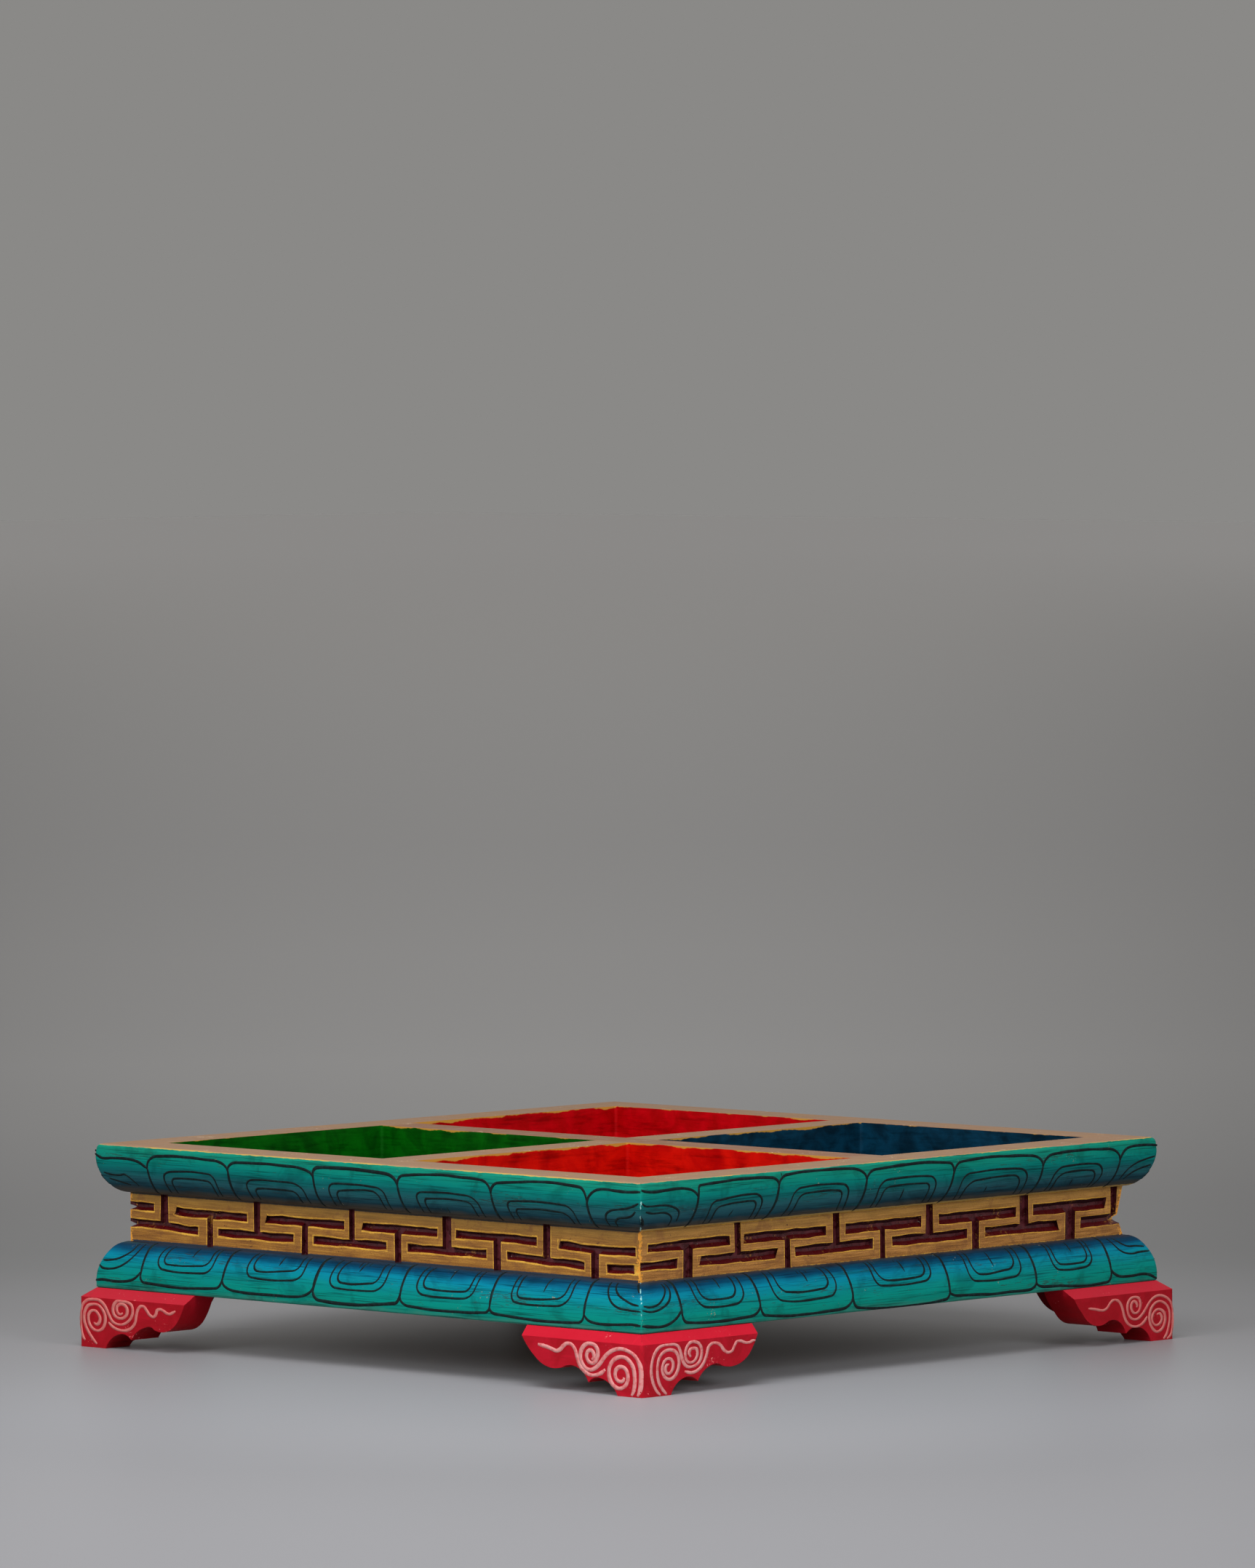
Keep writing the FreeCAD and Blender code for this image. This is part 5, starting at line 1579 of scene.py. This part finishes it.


# Painted light and shade of the sweep: its grey at each distance, in metres, from the pool's centre.
floor_greys = [
    (0.4, (132, 132, 136)), (0.7, (138, 138, 142)), (0.95, (143, 144, 149)), (1.2, (147, 147, 151)),
    (1.4, (142, 142, 145)), (1.6, (126, 127, 128)), (1.9, (138, 138, 139)), (2.4, (169, 169, 169)),
    (2.8, (185, 185, 185)), (3.8, (191, 191, 191)), (5.3, (188, 188, 188)), (8.1, (194, 194, 193)),
    (11.5, (201, 200, 198)), (16.5, (210, 209, 208)),
]
bm = bmesh.new()
bmesh.ops.create_grid(bm, x_segments=1, y_segments=1, size=14)
floor_mesh = bpy.data.meshes.new("studio_floor")
bm.to_mesh(floor_mesh)
bm.free()
floor_mesh.materials.append(studio_floor())
floor_piece = bpy.data.objects.new("studio_floor", floor_mesh)
bpy.context.scene.collection.objects.link(floor_piece)

world = bpy.data.worlds.new("studio_world")
bpy.context.scene.world = world
world.use_nodes = True
sky = world.node_tree
background = sky.nodes["Background"]
background.inputs["Color"].default_value = paint(204, 202, 200)
upward = add_node(sky, "SeparateXYZ", {0: add_node(sky, "TexCoord").outputs["Generated"]}).outputs[2]
sky.links.new(fade(sky, upward, 0.0, 0.5, 1.15, 0.45), background.inputs["Strength"])
seen = add_node(sky, "Background", {"Color": paint(138, 137, 135), "Strength": 1.0})
path_kind = add_node(sky, "LightPath")
choose = add_node(sky, "MixShader", {1: background.outputs[0], 2: seen.outputs[0]})
sky.links.new(path_kind.outputs["Is Camera Ray"], choose.inputs[0])
sky.links.new(choose.outputs[0], sky.nodes["World Output"].inputs["Surface"])


# %% Soft lamps
def soft_lamp(name, place, size, power, aim=(0, 0, 0.04)):
    lamp_data = bpy.data.lights.new(name, "AREA")
    lamp_data.shape = "SQUARE"
    lamp_data.size = size
    lamp_data.energy = power
    lamp = bpy.data.objects.new(name, lamp_data)
    towards = Vector(aim) - Vector(place)
    lamp.matrix_world = Matrix.Translation(place) @ towards.to_track_quat("-Z", "Y").to_matrix().to_4x4()
    bpy.context.scene.collection.objects.link(lamp)


soft_lamp("overhead_softbox", (0.42, -0.72, 1.15), 0.8, 12.0)
soft_lamp("left_softbox", (0.1, -1.3, 0.6), 0.5, 6.2)
soft_lamp("right_softbox", (1.3, -0.3, 0.6), 0.5, 6.8)

scene = bpy.context.scene
scene.view_settings.view_transform = "Standard"
